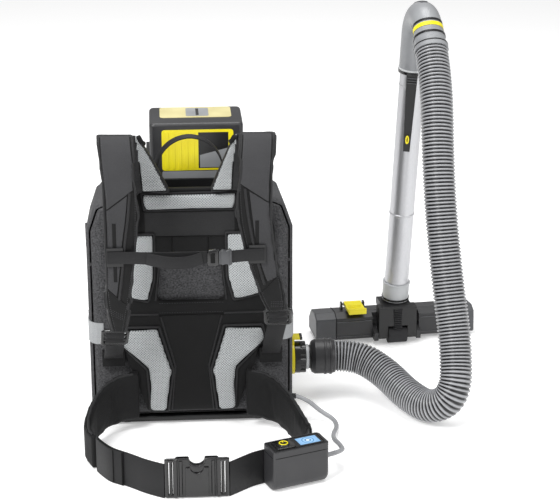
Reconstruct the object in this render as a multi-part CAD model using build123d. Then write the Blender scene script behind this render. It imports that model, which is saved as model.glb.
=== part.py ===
from build123d import *
import math
import os

# Backpack vacuum cleaner: millimetres, +Z up, harness towards -Y, wand standing to the right (+X).
# Origin on the floor, in the middle of the pack's base.

# ---- pack ----
PACK_HALF_WIDTH = 145.0
PACK_TOP = 364.0
REAR_DROP = 22.0               # the top slopes down towards the rear
SHOULDER_DROP = 28.0
SHELL_FRONT = -95.0
SHELL_REAR = 100.0
SHELL_BOTTOM = 12.0
SHELL_WALL = 5.0
EDGE_ROUND = 20.0
FIT = 0.3                      # running clearance between pieces that move
SEAT = 0.2                     # clearance under pieces that rest on another
FOOT_RADIUS = 13.0
FOOT_HEIGHT = 4.0
BAND_LOW = 129.0
BAND_HIGH = 161.0
BAND_THICKNESS = 1.2

# ---- rear cover ----
COVER_DEPTH = 40.0
COVER_WALL = 4.0
HINGE_RADIUS = 4.0
HINGE_PIN_RADIUS = 2.0
HINGE_KNUCKLE = 18.0
HINGE_HEIGHTS = (85.0, 225.0)

# ---- battery ----
BATTERY_WIDTH = 131.0
BATTERY_DEPTH = 90.0
BATTERY_HEIGHT = 86.0
BATTERY_CENTRE_X = 12.5
BATTERY_CENTRE_Y = 1.0
BATTERY_WALL = 3.0
POCKET_FLOOR = 344.0
CRADLE_BASE = 6.0
CRADLE_WALL = 5.0
CRADLE_TOP = 383.0
CELL_RADIUS = 10.0
CELL_LENGTH = 66.0

# ---- harness ----
PANEL_THICKNESS = 9.0
PANEL_TOP = 364.0
PAD_THICKNESS = 8.0
STRAP_THICKNESS = 14.0
STRAP_SPLIT_Y = -150.0
RAIL_THICKNESS = 1.6
RAIL_WIDTH = 12.0
CHEST_HEIGHT = 298.0
CHEST_WEB_WIDTH = 17.0
CHEST_WEB_THICKNESS = 1.8
CHEST_BUCKLE_WIDTH = 31.0
STRAP_WEB_WIDTH = 26.0
STRAP_WEB_THICKNESS = 1.8
LOCK_WIDTH = 34.0
LOCK_LENGTH = 30.0
LOCK_THICKNESS = 5.0
LOOP_WIDTH = 9.0
LOOP_THICKNESS = 3.0
BELT_WIDTH = 50.0
BELT_THICKNESS = 2.4
WING_THICKNESS = 11.0
WING_HEIGHT = 100.0
BUCKLE_WIDTH = 86.0
BUCKLE_HEIGHT = 58.0
BUCKLE_THICKNESS = 12.0
BUCKLE_Y = -320.0

# ---- control box on the hip belt ----
BOX_X = 134.0
BOX_Y = -289.0
BOX_TURN = 21.0
BOX_LENGTH = 82.0
BOX_DEPTH = 36.0
BOX_HEIGHT = 60.0
BOX_WALL = 2.5
BUTTON_RADIUS = 9.0

# ---- hose port ----
PORT_Y = 5.0
PORT_Z = 58.0
SLEEVE_RADIUS = 22.0
SLEEVE_BORE = 19.6
PORT_RING_RADIUS = 25.5
COLLAR_RADIUS = 24.0
NECK_RADIUS = 17.5
CUFF_RADIUS = 26.0
DUCT_BORE = 15.0
CUFF_END = 214.0
HOSE_DIAMETER = 48.0
CABLE_DIAMETER = 6.5

# ---- wand ----
WAND_FOOT = (334.0, 215.0, 87.0)
WAND_LEAN_X = 5.3
WAND_LEAN_Y = 2.1
WAND_TURN = 6.0
TUBE_RADIUS = 19.2
TUBE_WALL = 1.2
TUBE_LENGTH = 411.0
GRIP_TURN = -16.0
ELBOW_BEND = 40.0
ELBOW_ANGLE = 130.0
ELBOW_RADIUS = 21.5
HEAD_X = 330.0
HEAD_Y = 219.0
HEAD_HALF_LENGTH = 130.0
HEAD_CAP_LENGTH = 33.0
ROLLER_RADIUS = 13.0
PIVOT_Y = -30.0
BRUSH_TRAVEL = 5.0

PARTS = {}


def add(name, shape):
    """Adds a piece to its node; like pieces share one node."""
    PARTS.setdefault(name, []).append(shape)


def block(x0, x1, y0, y1, z0, z1):
    centre = ((x0 + x1) / 2, (y0 + y1) / 2, (z0 + z1) / 2)
    return Pos(*centre) * Box(x1 - x0, y1 - y0, z1 - z0)


def soft_block(x0, x1, y0, y1, z0, z1, radius):
    solid = block(x0, x1, y0, y1, z0, z1)
    return fillet(solid.edges(), radius)


def rod(start, end, radius):
    line = Vector(*end) - Vector(*start)
    return extrude(Plane(origin=start, z_dir=line) * Circle(radius), amount=line.length)


def pipe_x(x0, x1, y, z, outer, inner):
    ring = rod((x0, y, z), (x1, y, z), outer)
    return ring - rod((x0 - 1, y, z), (x1 + 1, y, z), inner)


def front_prism(points, y0, y1, radius):
    """Outline in X and Z, rounded at its corners, extruded from y0 to y1."""
    outline = make_face(Polyline(*points, close=True))
    if radius:
        outline = fillet(outline.vertices(), radius)
    plane = Plane(origin=(0, y1, 0), x_dir=(1, 0, 0), z_dir=(0, -1, 0))
    return extrude(plane * outline, amount=y1 - y0)


def side_prism(points, x0, x1, radius):
    """Outline in Y and Z, rounded, extruded from x0 to x1."""
    outline = make_face(Polyline(*points, close=True))
    if radius:
        outline = fillet(outline.vertices(), radius)
    plane = Plane(origin=(x0, 0, 0), x_dir=(0, 1, 0), z_dir=(1, 0, 0))
    return extrude(plane * outline, amount=x1 - x0)


def mirrored(points):
    return points + [(-x, z) for x, z in reversed(points)]


def turn_radii(points):
    """Arc radii for a route: 0.45 of the shorter run, over the tangent of half the turn."""
    radii = []
    for before, here, after in zip(points, points[1:], points[2:]):
        run_in = Vector(*here) - Vector(*before)
        run_out = Vector(*after) - Vector(*here)
        half_turn = math.radians(run_in.get_angle(run_out)) / 2
        radii.append(0.45 * min(run_in.length, run_out.length) / math.tan(half_turn))
    return radii


def route(points):
    return FilletPolyline(*points, radius=turn_radii(points))


def ribbon(points, across, width, thickness):
    """Flat strip along a route; 'across' is the direction of its width."""
    path = route(points)
    section = Plane(origin=path @ 0, x_dir=across, z_dir=path % 0) * Rectangle(width, thickness)
    return sweep(section, path=path)


def tube_along(points, diameter):
    path = route(points)
    section = Plane(origin=path @ 0, z_dir=path % 0) * Circle(diameter / 2)
    return sweep(section, path=path), path.length


def revolved(profile, turn_axis=Axis.Z):
    """Solid turned about Z from a closed profile of (radius, height) points."""
    face = Plane.XZ * make_face(Polyline(*profile, close=True))
    return revolve(face, axis=turn_axis)


# ---------------------------------------------------------------- pack body
def pack_outline(inset, drop=0.0):
    """Front outline of the pack; 'drop' from 0 to 1 lowers the top to its rear height."""
    w = PACK_HALF_WIDTH - inset
    shoulder = drop * SHOULDER_DROP
    return mirrored([
        (124 - inset, SHELL_BOTTOM + inset),
        (w, SHELL_BOTTOM + 12 + inset),
        (w, 297 - shoulder),
        (w - 11, 329 - shoulder),
        (92 - inset, 353 - inset - drop * REAR_DROP),
        (62, PACK_TOP - inset - drop * REAR_DROP),
    ])


def pack_section(inset, y):
    """Face of the pack's outline at depth y; its top slopes down towards the rear."""
    drop = (y - SHELL_FRONT) / (SHELL_REAR - SHELL_FRONT)
    face = make_face(Polyline(*pack_outline(inset, drop), close=True))
    plane = Plane(origin=(0, y, 0), x_dir=(1, 0, 0), z_dir=(0, -1, 0))
    return plane * fillet(face.vertices(), 7)


def pack_solid(inset, y0, y1, edge_round=0.0):
    """The pack's body between two depths, its front edge rounded in steps."""
    faces = [pack_section(inset, y0), pack_section(inset, y1)]
    if edge_round:
        steps = []
        for step in range(5):
            angle = math.radians(90 * step / 4)
            depth = y0 + edge_round * (1 - math.cos(angle))
            steps.append(pack_section(inset + edge_round * (1 - math.sin(angle)), depth))
        faces = steps + [faces[1]]
    return loft(faces, ruled=True)


battery_left = BATTERY_CENTRE_X - BATTERY_WIDTH / 2
battery_right = BATTERY_CENTRE_X + BATTERY_WIDTH / 2
battery_front = BATTERY_CENTRE_Y - BATTERY_DEPTH / 2
battery_rear = BATTERY_CENTRE_Y + BATTERY_DEPTH / 2
pocket_left = battery_left - FIT - CRADLE_WALL
pocket_right = battery_right + FIT + CRADLE_WALL
pocket_front = battery_front - FIT - CRADLE_WALL
pocket_rear = battery_rear + FIT + CRADLE_WALL
battery_floor = POCKET_FLOOR + CRADLE_BASE + SEAT
battery_top = battery_floor + BATTERY_HEIGHT
shell_inner = PACK_HALF_WIDTH - SHELL_WALL
hinge_x = -PACK_HALF_WIDTH - HINGE_RADIUS - FIT
hinge_y = SHELL_REAR + 1.0
RELEASE_X = 12.5
release_y = 74.0
release_z = PACK_TOP - REAR_DROP * (release_y + 10 - SHELL_FRONT) / (SHELL_REAR - SHELL_FRONT)
gland_y = -78.0
gland_z = 32.0


def rounded_pack(grow):
    """The pack's outer shape, 'grow' larger all round, with its front edges rounded."""
    return pack_solid(-grow, SHELL_FRONT - grow, SHELL_REAR, EDGE_ROUND)


def make_shell():
    outer = rounded_pack(0)
    cavity = pack_solid(SHELL_WALL, SHELL_FRONT + SHELL_WALL, SHELL_REAR + 1)
    pocket = block(pocket_left, pocket_right, SHELL_FRONT - 1, pocket_rear, POCKET_FLOOR, PACK_TOP + 1)
    pocket_skin = block(pocket_left - 4, pocket_right + 4, SHELL_FRONT, pocket_rear + 4,
                        POCKET_FLOOR - 4, PACK_TOP + 1)
    shell = outer - (cavity - pocket_skin) - pocket
    shell -= rod((100, PORT_Y, PORT_Z), (160, PORT_Y, PORT_Z), SLEEVE_RADIUS)
    shell -= rod((100, gland_y, gland_z), (160, gland_y, gland_z), 4.0)
    shell -= block(RELEASE_X - 20, RELEASE_X + 20, release_y - 10, release_y + 10, release_z - 4, PACK_TOP)
    for z in HINGE_HEIGHTS:
        barrel = rod((hinge_x, hinge_y, z - HINGE_KNUCKLE), (hinge_x, hinge_y, z - FIT), HINGE_RADIUS)
        lug = block(hinge_x, -PACK_HALF_WIDTH + 1, hinge_y - 9, SHELL_REAR, z - HINGE_KNUCKLE, z - FIT)
        pin_hole = rod((hinge_x, hinge_y, z - HINGE_KNUCKLE - 1), (hinge_x, hinge_y, z), HINGE_PIN_RADIUS)
        shell = shell + lug + barrel - pin_hole
    return shell


def cover_form(inset, depth):
    """Domed form of the rear cover: outline sections that draw in towards the rear."""
    faces = []
    for share, draw in ((0, 0), (0.5, 4), (0.8, 9), (0.94, 15), (1, 22)):
        face = make_face(Polyline(*pack_outline(2 + inset + draw, 1.0), close=True))
        y = SHELL_REAR + FIT + share * depth
        plane = Plane(origin=(0, y, 0), x_dir=(1, 0, 0), z_dir=(0, -1, 0))
        faces.append(plane * fillet(face.vertices(), 5))
    return loft(faces, ruled=True)


def make_cover():
    cover = cover_form(0, COVER_DEPTH) - cover_form(COVER_WALL, COVER_DEPTH - COVER_WALL)
    for z in HINGE_HEIGHTS:
        low = z + FIT
        high = z + HINGE_KNUCKLE
        barrel = rod((hinge_x, hinge_y, low), (hinge_x, hinge_y, high), HINGE_RADIUS)
        arm = block(hinge_x, -PACK_HALF_WIDTH + 5.5, SHELL_REAR + FIT, SHELL_REAR + 5, low, high)
        pin_hole = rod((hinge_x, hinge_y, low - 1), (hinge_x, hinge_y, high + 1), HINGE_PIN_RADIUS + FIT)
        cover = cover + arm + barrel - pin_hole
    grip = soft_block(PACK_HALF_WIDTH - 8, PACK_HALF_WIDTH + 3, SHELL_REAR + 2, SHELL_REAR + 12, 185, 225, 2)
    return cover + (grip - cover_form(COVER_WALL, COVER_DEPTH))


def make_base():
    tray = soft_block(-116, 116, -90, 97, FOOT_HEIGHT - 1, SHELL_BOTTOM, 2.5)
    for x, y in ((-95, -70), (95, -70), (-95, 78), (95, 78), (0, 0)):
        foot = rod((x, y, 0), (x, y, FOOT_HEIGHT), FOOT_RADIUS)
        tray -= foot
        add("base_feet", foot)
    add("base_tray", tray)


def make_pack():
    add("body_shell", make_shell())
    add("rear_cover", make_cover())
    for z in HINGE_HEIGHTS:
        start = (hinge_x, hinge_y, z - HINGE_KNUCKLE)
        add("cover_hinge_pins", rod(start, (hinge_x, hinge_y, z + HINGE_KNUCKLE), HINGE_PIN_RADIUS))
    make_base()
    skin = rounded_pack(BAND_THICKNESS) - rounded_pack(0)
    for side in (-1, 1):
        x0, x1 = sorted((side * 124, side * (PACK_HALF_WIDTH + 5)))
        add("reflective_bands", skin & block(x0, x1, SHELL_FRONT - 5, SHELL_REAR - 12, BAND_LOW, BAND_HIGH))
    button = soft_block(RELEASE_X - 19.5, RELEASE_X + 19.5, release_y - 9.5, release_y + 9.5,
                        release_z - 0.8, release_z + 4, 1.2)
    add("battery_release", button)


# ---------------------------------------------------------------- inside the pack
BASKET_LEFT = -112.0
BASKET_RIGHT = 100.0
BASKET_TOP = 240.0
BASKET_WALL = 3.0
DECK_Z = 246.0
DECK_THICKNESS = 4.0
MOTOR_Y = 8.0
MOTOR_RADIUS = 62.0
MOTOR_TOP = 322.0
FAN_RADIUS = 56.0
BAG_PLATE = 2.6
bag_right = BASKET_RIGHT - BASKET_WALL - BAG_PLATE - FIT


def make_inside():
    floor_z = SHELL_BOTTOM + SHELL_WALL
    basket = block(BASKET_LEFT, BASKET_RIGHT, -70, 94, floor_z, BASKET_TOP)
    basket -= block(BASKET_LEFT + BASKET_WALL, BASKET_RIGHT - BASKET_WALL, -70 + BASKET_WALL, 95,
                    floor_z + BASKET_WALL, BASKET_TOP - BASKET_WALL)
    basket -= rod((90, PORT_Y, PORT_Z), (101, PORT_Y, PORT_Z), SLEEVE_RADIUS + FIT)
    for column in range(5):
        x = BASKET_LEFT + 16 + column * 38
        basket -= block(x, x + 26, -71, -66, floor_z + 14, BASKET_TOP - 14)
    add("bag_basket", basket)
    bag_low = floor_z + BASKET_WALL + SEAT
    add("dust_bag", soft_block(BASKET_LEFT + 7, bag_right, -58, 84, bag_low, 222, 14))
    plate = block(bag_right, bag_right + BAG_PLATE, PORT_Y - 34, PORT_Y + 34, PORT_Z - 30, PORT_Z + 34)
    add("dust_bag", plate - rod((80, PORT_Y, PORT_Z), (110, PORT_Y, PORT_Z), SLEEVE_BORE))
    half = shell_inner - SEAT
    deck = block(-half, half, SHELL_FRONT + SHELL_WALL + SEAT, SHELL_REAR - 4, DECK_Z, DECK_Z + DECK_THICKNESS)
    deck -= rod((0, MOTOR_Y, DECK_Z - 1), (0, MOTOR_Y, DECK_Z + 9), 34)
    low = DECK_Z + DECK_THICKNESS
    housing = rod((0, MOTOR_Y, low), (0, MOTOR_Y, MOTOR_TOP), MOTOR_RADIUS)
    housing -= rod((0, MOTOR_Y, low + 3), (0, MOTOR_Y, MOTOR_TOP - 4), MOTOR_RADIUS - 4)
    housing -= rod((0, MOTOR_Y, low - 1), (0, MOTOR_Y, low + 4), 34)
    housing -= rod((0, MOTOR_Y, MOTOR_TOP - 5), (0, MOTOR_Y, MOTOR_TOP + 1), 26)
    add("motor_housing", deck + housing)
    motor = rod((0, MOTOR_Y, low + 27), (0, MOTOR_Y, MOTOR_TOP - 4), 42)
    motor += rod((0, MOTOR_Y, low + 4), (0, MOTOR_Y, low + 28), 4)
    add("motor", motor)
    fan = rod((0, MOTOR_Y, low + 6), (0, MOTOR_Y, low + 8), FAN_RADIUS)
    fan += rod((0, MOTOR_Y, low + 6), (0, MOTOR_Y, low + 24), 11)
    for blade in range(9):
        vane = Pos(33, 0, low + 14) * Rot(0, 0, 24) * Box(42, 2.2, 14)
        fan += Pos(0, MOTOR_Y, 0) * Rot(0, 0, blade * 40) * vane
    fan -= rod((0, MOTOR_Y, low), (0, MOTOR_Y, low + 30), 4 + FIT)
    add("fan_wheel", fan)
    add("exhaust_filter", soft_block(76, 118, -46, 62, low, low + 38, 3))
    board = block(-132, -74, -50, 56, low, low + 2)
    for y in (-30, 0, 30):
        board += rod((-112, y, low + 1), (-112, y, low + 24), 8)
        board += block(-98, -84, y - 8, y + 8, low + 1, low + 12)
    add("circuit_boards", board)
    add("silencer_foam", soft_block(-64, 64, -58, 70, MOTOR_TOP, POCKET_FLOOR - 4 - SEAT, 3))


# ---------------------------------------------------------------- battery
def make_battery():
    cradle = block(pocket_left + SEAT, pocket_right - SEAT, pocket_front, pocket_rear - SEAT,
                   POCKET_FLOOR, CRADLE_TOP)
    cradle -= block(battery_left - FIT, battery_right + FIT, battery_front - FIT, battery_rear + FIT,
                    POCKET_FLOOR + CRADLE_BASE, CRADLE_TOP + 1)
    cradle -= block(battery_left + 6, battery_right - 6, pocket_front - 1, battery_front,
                    POCKET_FLOOR + CRADLE_BASE + 7, CRADLE_TOP + 1)
    add("battery_cradle", cradle)
    case = block(battery_left, battery_right, battery_front, battery_rear, battery_floor, battery_top)
    case = fillet(case.edges().filter_by(Axis.Z), 7)
    case = fillet(case.faces().sort_by(Axis.Z)[-1].edges(), 5)
    case -= block(battery_left + BATTERY_WALL, battery_right - BATTERY_WALL, battery_front + BATTERY_WALL,
                  battery_rear - BATTERY_WALL, battery_floor + BATTERY_WALL, battery_top - BATTERY_WALL)
    add("battery_case", case)
    cell_low = battery_floor + BATTERY_WALL
    for column in range(5):
        for row in range(3):
            x = BATTERY_CENTRE_X + (column - 2) * (2 * CELL_RADIUS + 3)
            y = BATTERY_CENTRE_Y + (row - 1) * (2 * CELL_RADIUS + 3)
            add("battery_cells", rod((x, y, cell_low), (x, y, cell_low + CELL_LENGTH), CELL_RADIUS))


# ---------------------------------------------------------------- harness
panel_front = SHELL_FRONT - PANEL_THICKNESS
pad_front = panel_front - PAD_THICKNESS
LEFT_LINE = [(-111.3, 300), (-113, 395), (-135, 438), (-162, 455), (-184, 432), (-190, 380),
             (-190.5, 250), (-182, 212), (-160, 176)]
RIGHT_LINE = [(-111.3, 300), (-113, 395), (-135, 438), (-162, 455), (-184, 432), (-190, 380),
              (-190.5, 276), (-184, 238), (-166, 204)]
LEFT_STRAP = [(-128, 480), (-121, 418), (-118, 345), (-118, 298), (-121, 226), (-116, 190),
              (-112, 165), (-90, 165), (-80, 225), (-70, 297), (-63, 357), (-69, 403), (-74, 480)]
RIGHT_STRAP = [(119, 480), (113, 418), (111, 353), (118, 293), (129, 220), (133, 206), (130, 190),
               (106, 190), (90, 226), (68, 294), (56, 354), (60, 403), (67, 480)]
LEFT_YOKE = [(-128, 480), (-121, 418), (-118, 300), (-72, 300), (-70, 357), (-24, 357), (-24, 366),
             (-74, 468), (-74, 480)]
RIGHT_YOKE = [(119, 480), (113, 418), (112, 300), (72, 300), (70, 357), (26, 357), (26, 366),
              (67, 468), (67, 480)]
strap_front = -190.5 - STRAP_THICKNESS / 2


def make_strap(name, line, strap_outline, yoke_outline):
    centre_x = sum(x for x, z in strap_outline) / len(strap_outline)
    points = [(centre_x, y, z) for y, z in line]
    band = ribbon(points, (1, 0, 0), 190, STRAP_THICKNESS)
    add("shoulder_yoke_" + name, band & front_prism(yoke_outline, STRAP_SPLIT_Y, -90, 0))
    pad = band & front_prism(strap_outline, -220, STRAP_SPLIT_Y, 4)
    tail = band & front_prism(strap_outline, -220, -120, 4) & block(-200, 200, -220, -120, 100, 300)
    add("shoulder_strap_" + name, pad + tail)


def make_lock_and_web(line, lock_x, web_x):
    """Ladder lock at the strap's lower end, and the webbing from it down to its sewn tab."""
    (y0, z0), (y1, z1) = line[-2:]
    end = Vector(lock_x, y1, z1)
    down = Vector(0, y1 - y0, z1 - z0).normalized()
    frame = Box(LOCK_WIDTH, LOCK_THICKNESS, LOCK_LENGTH)
    for slot in (-6.5, 6.5):
        frame -= Pos(0, 0, slot) * Box(LOCK_WIDTH - 8, LOCK_THICKNESS + 2, 6)
    frame = fillet(frame.edges().filter_by(Axis.Y), 1.2)
    middle = end + down * (LOCK_LENGTH / 2 + SEAT)
    add("ladder_locks", Location(Plane(origin=middle, x_dir=(1, 0, 0), z_dir=down)) * frame)
    top = end + down * (LOCK_LENGTH + SEAT)
    points = [tuple(top), (web_x, (top.Y - 110) / 2, (top.Z + 98) / 2), (web_x, -102, 110)]
    web = ribbon(points, (1, 0, 0), STRAP_WEB_WIDTH, STRAP_WEB_THICKNESS)
    add("strap_webs", web)
    tab = soft_block(web_x - 16, web_x + 16, -107, SHELL_FRONT, 99, 121, 2)
    add("strap_webs", tab - web - PARTS["back_panel"][0])


def make_harness():
    panel = front_prism(mirrored([(66, 22), (104, 130), (122, 176), (122, 300), (108, 338), (66, PANEL_TOP)]),
                        panel_front, SHELL_FRONT, 6)
    panel -= front_prism([(-46, 196), (46, 196), (40, 251), (-40, 251)], panel_front - 1, SHELL_FRONT + 1, 5)
    add("back_panel", panel)
    top_pad = front_prism(mirrored([(62, 331), (66, 355)]), pad_front, panel_front, 3)
    add("mesh_pads", fillet(top_pad.faces().sort_by(Axis.Y)[0].edges(), 2.5))
    upper = [(104, 296), (50, 296), (51, 230), (60, 196), (104, 206)]
    lower = [(100, 157), (46, 157), (27, 90), (35, 27), (60, 27), (64, 92), (104, 136)]
    for side in (-1, 1):
        for outline in (upper, lower):
            points = [(side * x, z) for x, z in outline]
            pad = front_prism(points, pad_front, panel_front, 5)
            add("mesh_pads", fillet(pad.faces().sort_by(Axis.Y)[0].edges(), 2.5))
    make_strap("left", LEFT_LINE, LEFT_STRAP, LEFT_YOKE)
    make_strap("right", RIGHT_LINE, RIGHT_STRAP, RIGHT_YOKE)
    loop = [(-47, LOOP_Y, PANEL_TOP), (-48, LOOP_Y, 394), (-30, LOOP_Y, 425), (2, LOOP_Y, 437),
            (33, LOOP_Y, 424), (49, LOOP_Y, 394), (48, LOOP_Y, PANEL_TOP)]
    add("carry_loop", ribbon(loop, (0, 1, 0), LOOP_WIDTH, LOOP_THICKNESS))
    make_chest()
    make_lock_and_web(LEFT_LINE, -107, -111)
    make_lock_and_web(RIGHT_LINE, 118, 112)
    make_belt()


LOOP_Y = SHELL_FRONT - PANEL_THICKNESS / 2


def make_chest():
    low = CHEST_HEIGHT - 13
    high = CHEST_HEIGHT + 13
    rail_front = strap_front - RAIL_THICKNESS
    for x in (-102, 88):
        half = RAIL_WIDTH / 2
        add("strap_webs", block(x - half, x + half, rail_front, strap_front, 262, 345))
        slider = block(x - half - 5, x + half + 5, rail_front - FIT - 2.5, strap_front - FIT, low, high)
        slider -= block(x - half - FIT, x + half + FIT, rail_front - FIT, strap_front, low - 1, high + 1)
        add("chest_sliders", slider)
    web_y = rail_front - FIT - 2.5 - CHEST_WEB_THICKNESS / 2
    buckle_left = 22.0
    buckle_right = buckle_left + CHEST_BUCKLE_WIDTH
    left = [(-112, web_y, CHEST_HEIGHT), (-88, web_y, CHEST_HEIGHT), (-50, web_y - 7, CHEST_HEIGHT),
            (buckle_left, web_y - 6, CHEST_HEIGHT)]
    right = [(buckle_right, web_y - 6, CHEST_HEIGHT), (74, web_y, CHEST_HEIGHT), (98, web_y, CHEST_HEIGHT)]
    add("chest_webs", ribbon(left, (0, 0, 1), CHEST_WEB_WIDTH, CHEST_WEB_THICKNESS))
    add("chest_webs", ribbon(right, (0, 0, 1), CHEST_WEB_WIDTH, CHEST_WEB_THICKNESS))
    add("chest_buckle", soft_block(buckle_left, buckle_right, web_y - 11, web_y - 2,
                                   CHEST_HEIGHT - 12, CHEST_HEIGHT + 12, 2))


LEFT_WING = [(-74, -109.8), (-116, -119), (-143, -155), (-150, -196), (-134, -230)]
LEFT_BELT = [(-134, -230), (-118.8, -262.3), (-90, -284), (-64, -308), (-43, -320)]
RIGHT_WING = [(74, -109.8), (114, -120), (141, -160), (153, -198), (156, -226)]
WING_SIDE = [(-100, 22), (-100, 97), (-190, 53), (-240, 51), (-240, 0), (-185, 0)]


def make_belt():
    for points, name in ((LEFT_WING, "left"), (RIGHT_WING, "right")):
        route_3d = [(x, y, WING_HEIGHT / 2) for x, y in points]
        pad = ribbon(route_3d, (0, 0, 1), WING_HEIGHT, WING_THICKNESS)
        add("belt_wing_" + name, pad & side_prism(WING_SIDE, -180, 180, 0))
    left = [(x, y, BELT_WIDTH / 2) for x, y in LEFT_BELT]
    add("belt_web_left", ribbon(left, (0, 0, 1), BELT_WIDTH, BELT_THICKNESS))
    back = BOX_DEPTH / 2 + FIT + BELT_THICKNESS / 2
    near = box_place * Vector(-BOX_LENGTH / 2 - 8, back, 0)
    far = box_place * Vector(24, back, 0)
    right_points = [(43, -320), (62, -304), (near.X, near.Y), (far.X, far.Y), (156, -226)]
    right = [(x, y, BELT_WIDTH / 2) for x, y in right_points]
    add("belt_web_right", ribbon(right, (0, 0, 1), BELT_WIDTH, BELT_THICKNESS))


class Place:
    """Moves points and shapes into a turned frame."""

    def __init__(self, location):
        self.location = location

    def __mul__(self, item):
        if isinstance(item, Vector):
            return (self.location * Pos(item.X, item.Y, item.Z)).position
        return self.location * item


box_place = Place(Pos(BOX_X, BOX_Y, 0) * Rot(0, 0, BOX_TURN))
BUCKLE_SLOT = 5.0


def make_buckle():
    half = BUCKLE_WIDTH / 2
    y0 = BUCKLE_Y - BUCKLE_THICKNESS / 2
    y1 = BUCKLE_Y + BUCKLE_THICKNESS / 2
    frame = soft_block(-half, half, y0, y1, 0, BUCKLE_HEIGHT, 2.5)
    frame -= block(-16.5, 16.5, y0 - 1, y1 - 2.5, 3, BUCKLE_HEIGHT - 10)
    for side in (-1, 1):
        x = side * (half - 9)
        frame -= block(x - BUCKLE_SLOT / 2, x + BUCKLE_SLOT / 2, y0 - 1, y1 + 1, 4, 54)
    add("hip_buckle_frame", frame)
    tongue = block(-16, 16, y0 - 1.5, y1 - 5.5, 3.5, BUCKLE_HEIGHT - 10.5)
    tongue -= rod((0, y0 - 3, BUCKLE_HEIGHT - 10.5), (0, y1, BUCKLE_HEIGHT - 10.5), 9)
    add("hip_buckle_tongue", tongue)


# ---------------------------------------------------------------- control box
def make_control_box():
    half_l = BOX_LENGTH / 2
    half_d = BOX_DEPTH / 2
    case = block(-half_l, half_l, -half_d, half_d, 0, BOX_HEIGHT)
    case = fillet(case.edges().filter_by(Axis.X).sort_by(Axis.Y)[:1], 16)
    case = fillet(case.edges().filter_by(Axis.Z), 5)
    case -= block(-half_l + 6, half_l - 6, -half_d + 6, half_d - BOX_WALL, 18, BOX_HEIGHT - 2.5)
    case -= block(-half_l + 3, half_l - 3, -half_d + 3, half_d - 2, BOX_HEIGHT - 2.5, BOX_HEIGHT + 1)
    clip_y = half_d + 2 * FIT + BELT_THICKNESS
    clip = block(-30, 4, clip_y, clip_y + 2.5, 14, BOX_HEIGHT - 3)
    clip += block(-30, 4, half_d - 1, clip_y + 1, BELT_WIDTH + 1, BOX_HEIGHT - 3)
    case += clip - block(-half_l, half_l, -half_d, half_d - BOX_WALL, 0, BOX_HEIGHT)
    case -= rod((half_l - 8, 4, 30), (half_l + 1, 4, 30), 4)
    add("control_box", box_place * case)
    panel = block(-half_l + 3.2, half_l - 3.2, -half_d + 3.2, half_d - 2.2, BOX_HEIGHT - 2.5, BOX_HEIGHT + 0.5)
    panel -= rod((-19, 0, 50), (-19, 0, 70), BUTTON_RADIUS + FIT)
    panel -= block(2, 32, -10, 10, BOX_HEIGHT - 0.9, BOX_HEIGHT + 1)
    add("control_panel", box_place * panel)
    button = rod((-19, 0, BOX_HEIGHT - 4), (-19, 0, BOX_HEIGHT + 3.5), BUTTON_RADIUS)
    add("power_button", box_place * fillet(button.edges().sort_by(Axis.Z)[-1], 1.2))
    add("display_window", box_place * block(2.2, 31.8, -9.8, 9.8, BOX_HEIGHT - 0.9, BOX_HEIGHT + 0.7))
    board = block(-30, 30, -10, 10, BOX_HEIGHT - 10, BOX_HEIGHT - 8)
    board += block(-30, 30, 8, half_d - BOX_WALL, BOX_HEIGHT - 10, BOX_HEIGHT - 8)
    board += block(-24, -14, -5, 5, BOX_HEIGHT - 9, BOX_HEIGHT - 6)
    add("circuit_boards", box_place * board)
    gland = pipe_x(half_l - 7, half_l + 4, 4, 30, 4.0, CABLE_DIAMETER / 2)
    add("cable_glands", box_place * gland)
    add("cable_glands", pipe_x(PACK_HALF_WIDTH - SHELL_WALL, PACK_HALF_WIDTH + 5, gland_y, gland_z,
                                 4.0, CABLE_DIAMETER / 2))


# ---------------------------------------------------------------- hose port and hose
def make_port():
    wall = PACK_HALF_WIDTH
    flange = pipe_x(bag_right + BAG_PLATE, wall + 9, PORT_Y, PORT_Z, SLEEVE_RADIUS, SLEEVE_BORE)
    flange += pipe_x(wall, wall + 2.5, PORT_Y, PORT_Z, 28, SLEEVE_BORE)
    add("port_flange", flange)
    ring_start = wall + 2.5 + FIT
    ring = pipe_x(ring_start, wall + 8.5, PORT_Y, PORT_Z, PORT_RING_RADIUS, SLEEVE_RADIUS + FIT)
    tab = block(ring_start, wall + 8.5, PORT_Y - 9, PORT_Y + 9, PORT_Z + 23, PORT_Z + 34)
    tab += block(ring_start, wall + 20, PORT_Y - 9, PORT_Y + 9, PORT_Z + 31, PORT_Z + 34)
    add("port_ring", ring + tab)
    collar_start = wall + 9 + FIT
    collar_end = collar_start + 16
    collar = pipe_x(collar_start, collar_end, PORT_Y, PORT_Z, COLLAR_RADIUS, DUCT_BORE)
    collar += pipe_x(wall - SHELL_WALL, collar_start + 1, PORT_Y, PORT_Z, SLEEVE_BORE - FIT, DUCT_BORE)
    for notch in range(8):
        angle = math.radians(notch * 45 + 22.5)
        y = PORT_Y + (COLLAR_RADIUS + 3) * math.cos(angle)
        z = PORT_Z + (COLLAR_RADIUS + 3) * math.sin(angle)
        collar -= rod((collar_start + 8, y, z), (collar_end + 1, y, z), 6)
    add("port_collar", collar)
    neck = [(DUCT_BORE, 0), (NECK_RADIUS, 0), (NECK_RADIUS, 7), (CUFF_RADIUS - 3, 9), (CUFF_RADIUS, 14),
            (CUFF_RADIUS, CUFF_END - collar_end - 6), (CUFF_RADIUS - 1.5, CUFF_END - collar_end),
            (DUCT_BORE, CUFF_END - collar_end)]
    place = Location(Plane(origin=(collar_end, PORT_Y, PORT_Z), x_dir=(0, 1, 0), z_dir=(1, 0, 0)))
    add("hose_cuff", place * revolved(neck))


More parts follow.
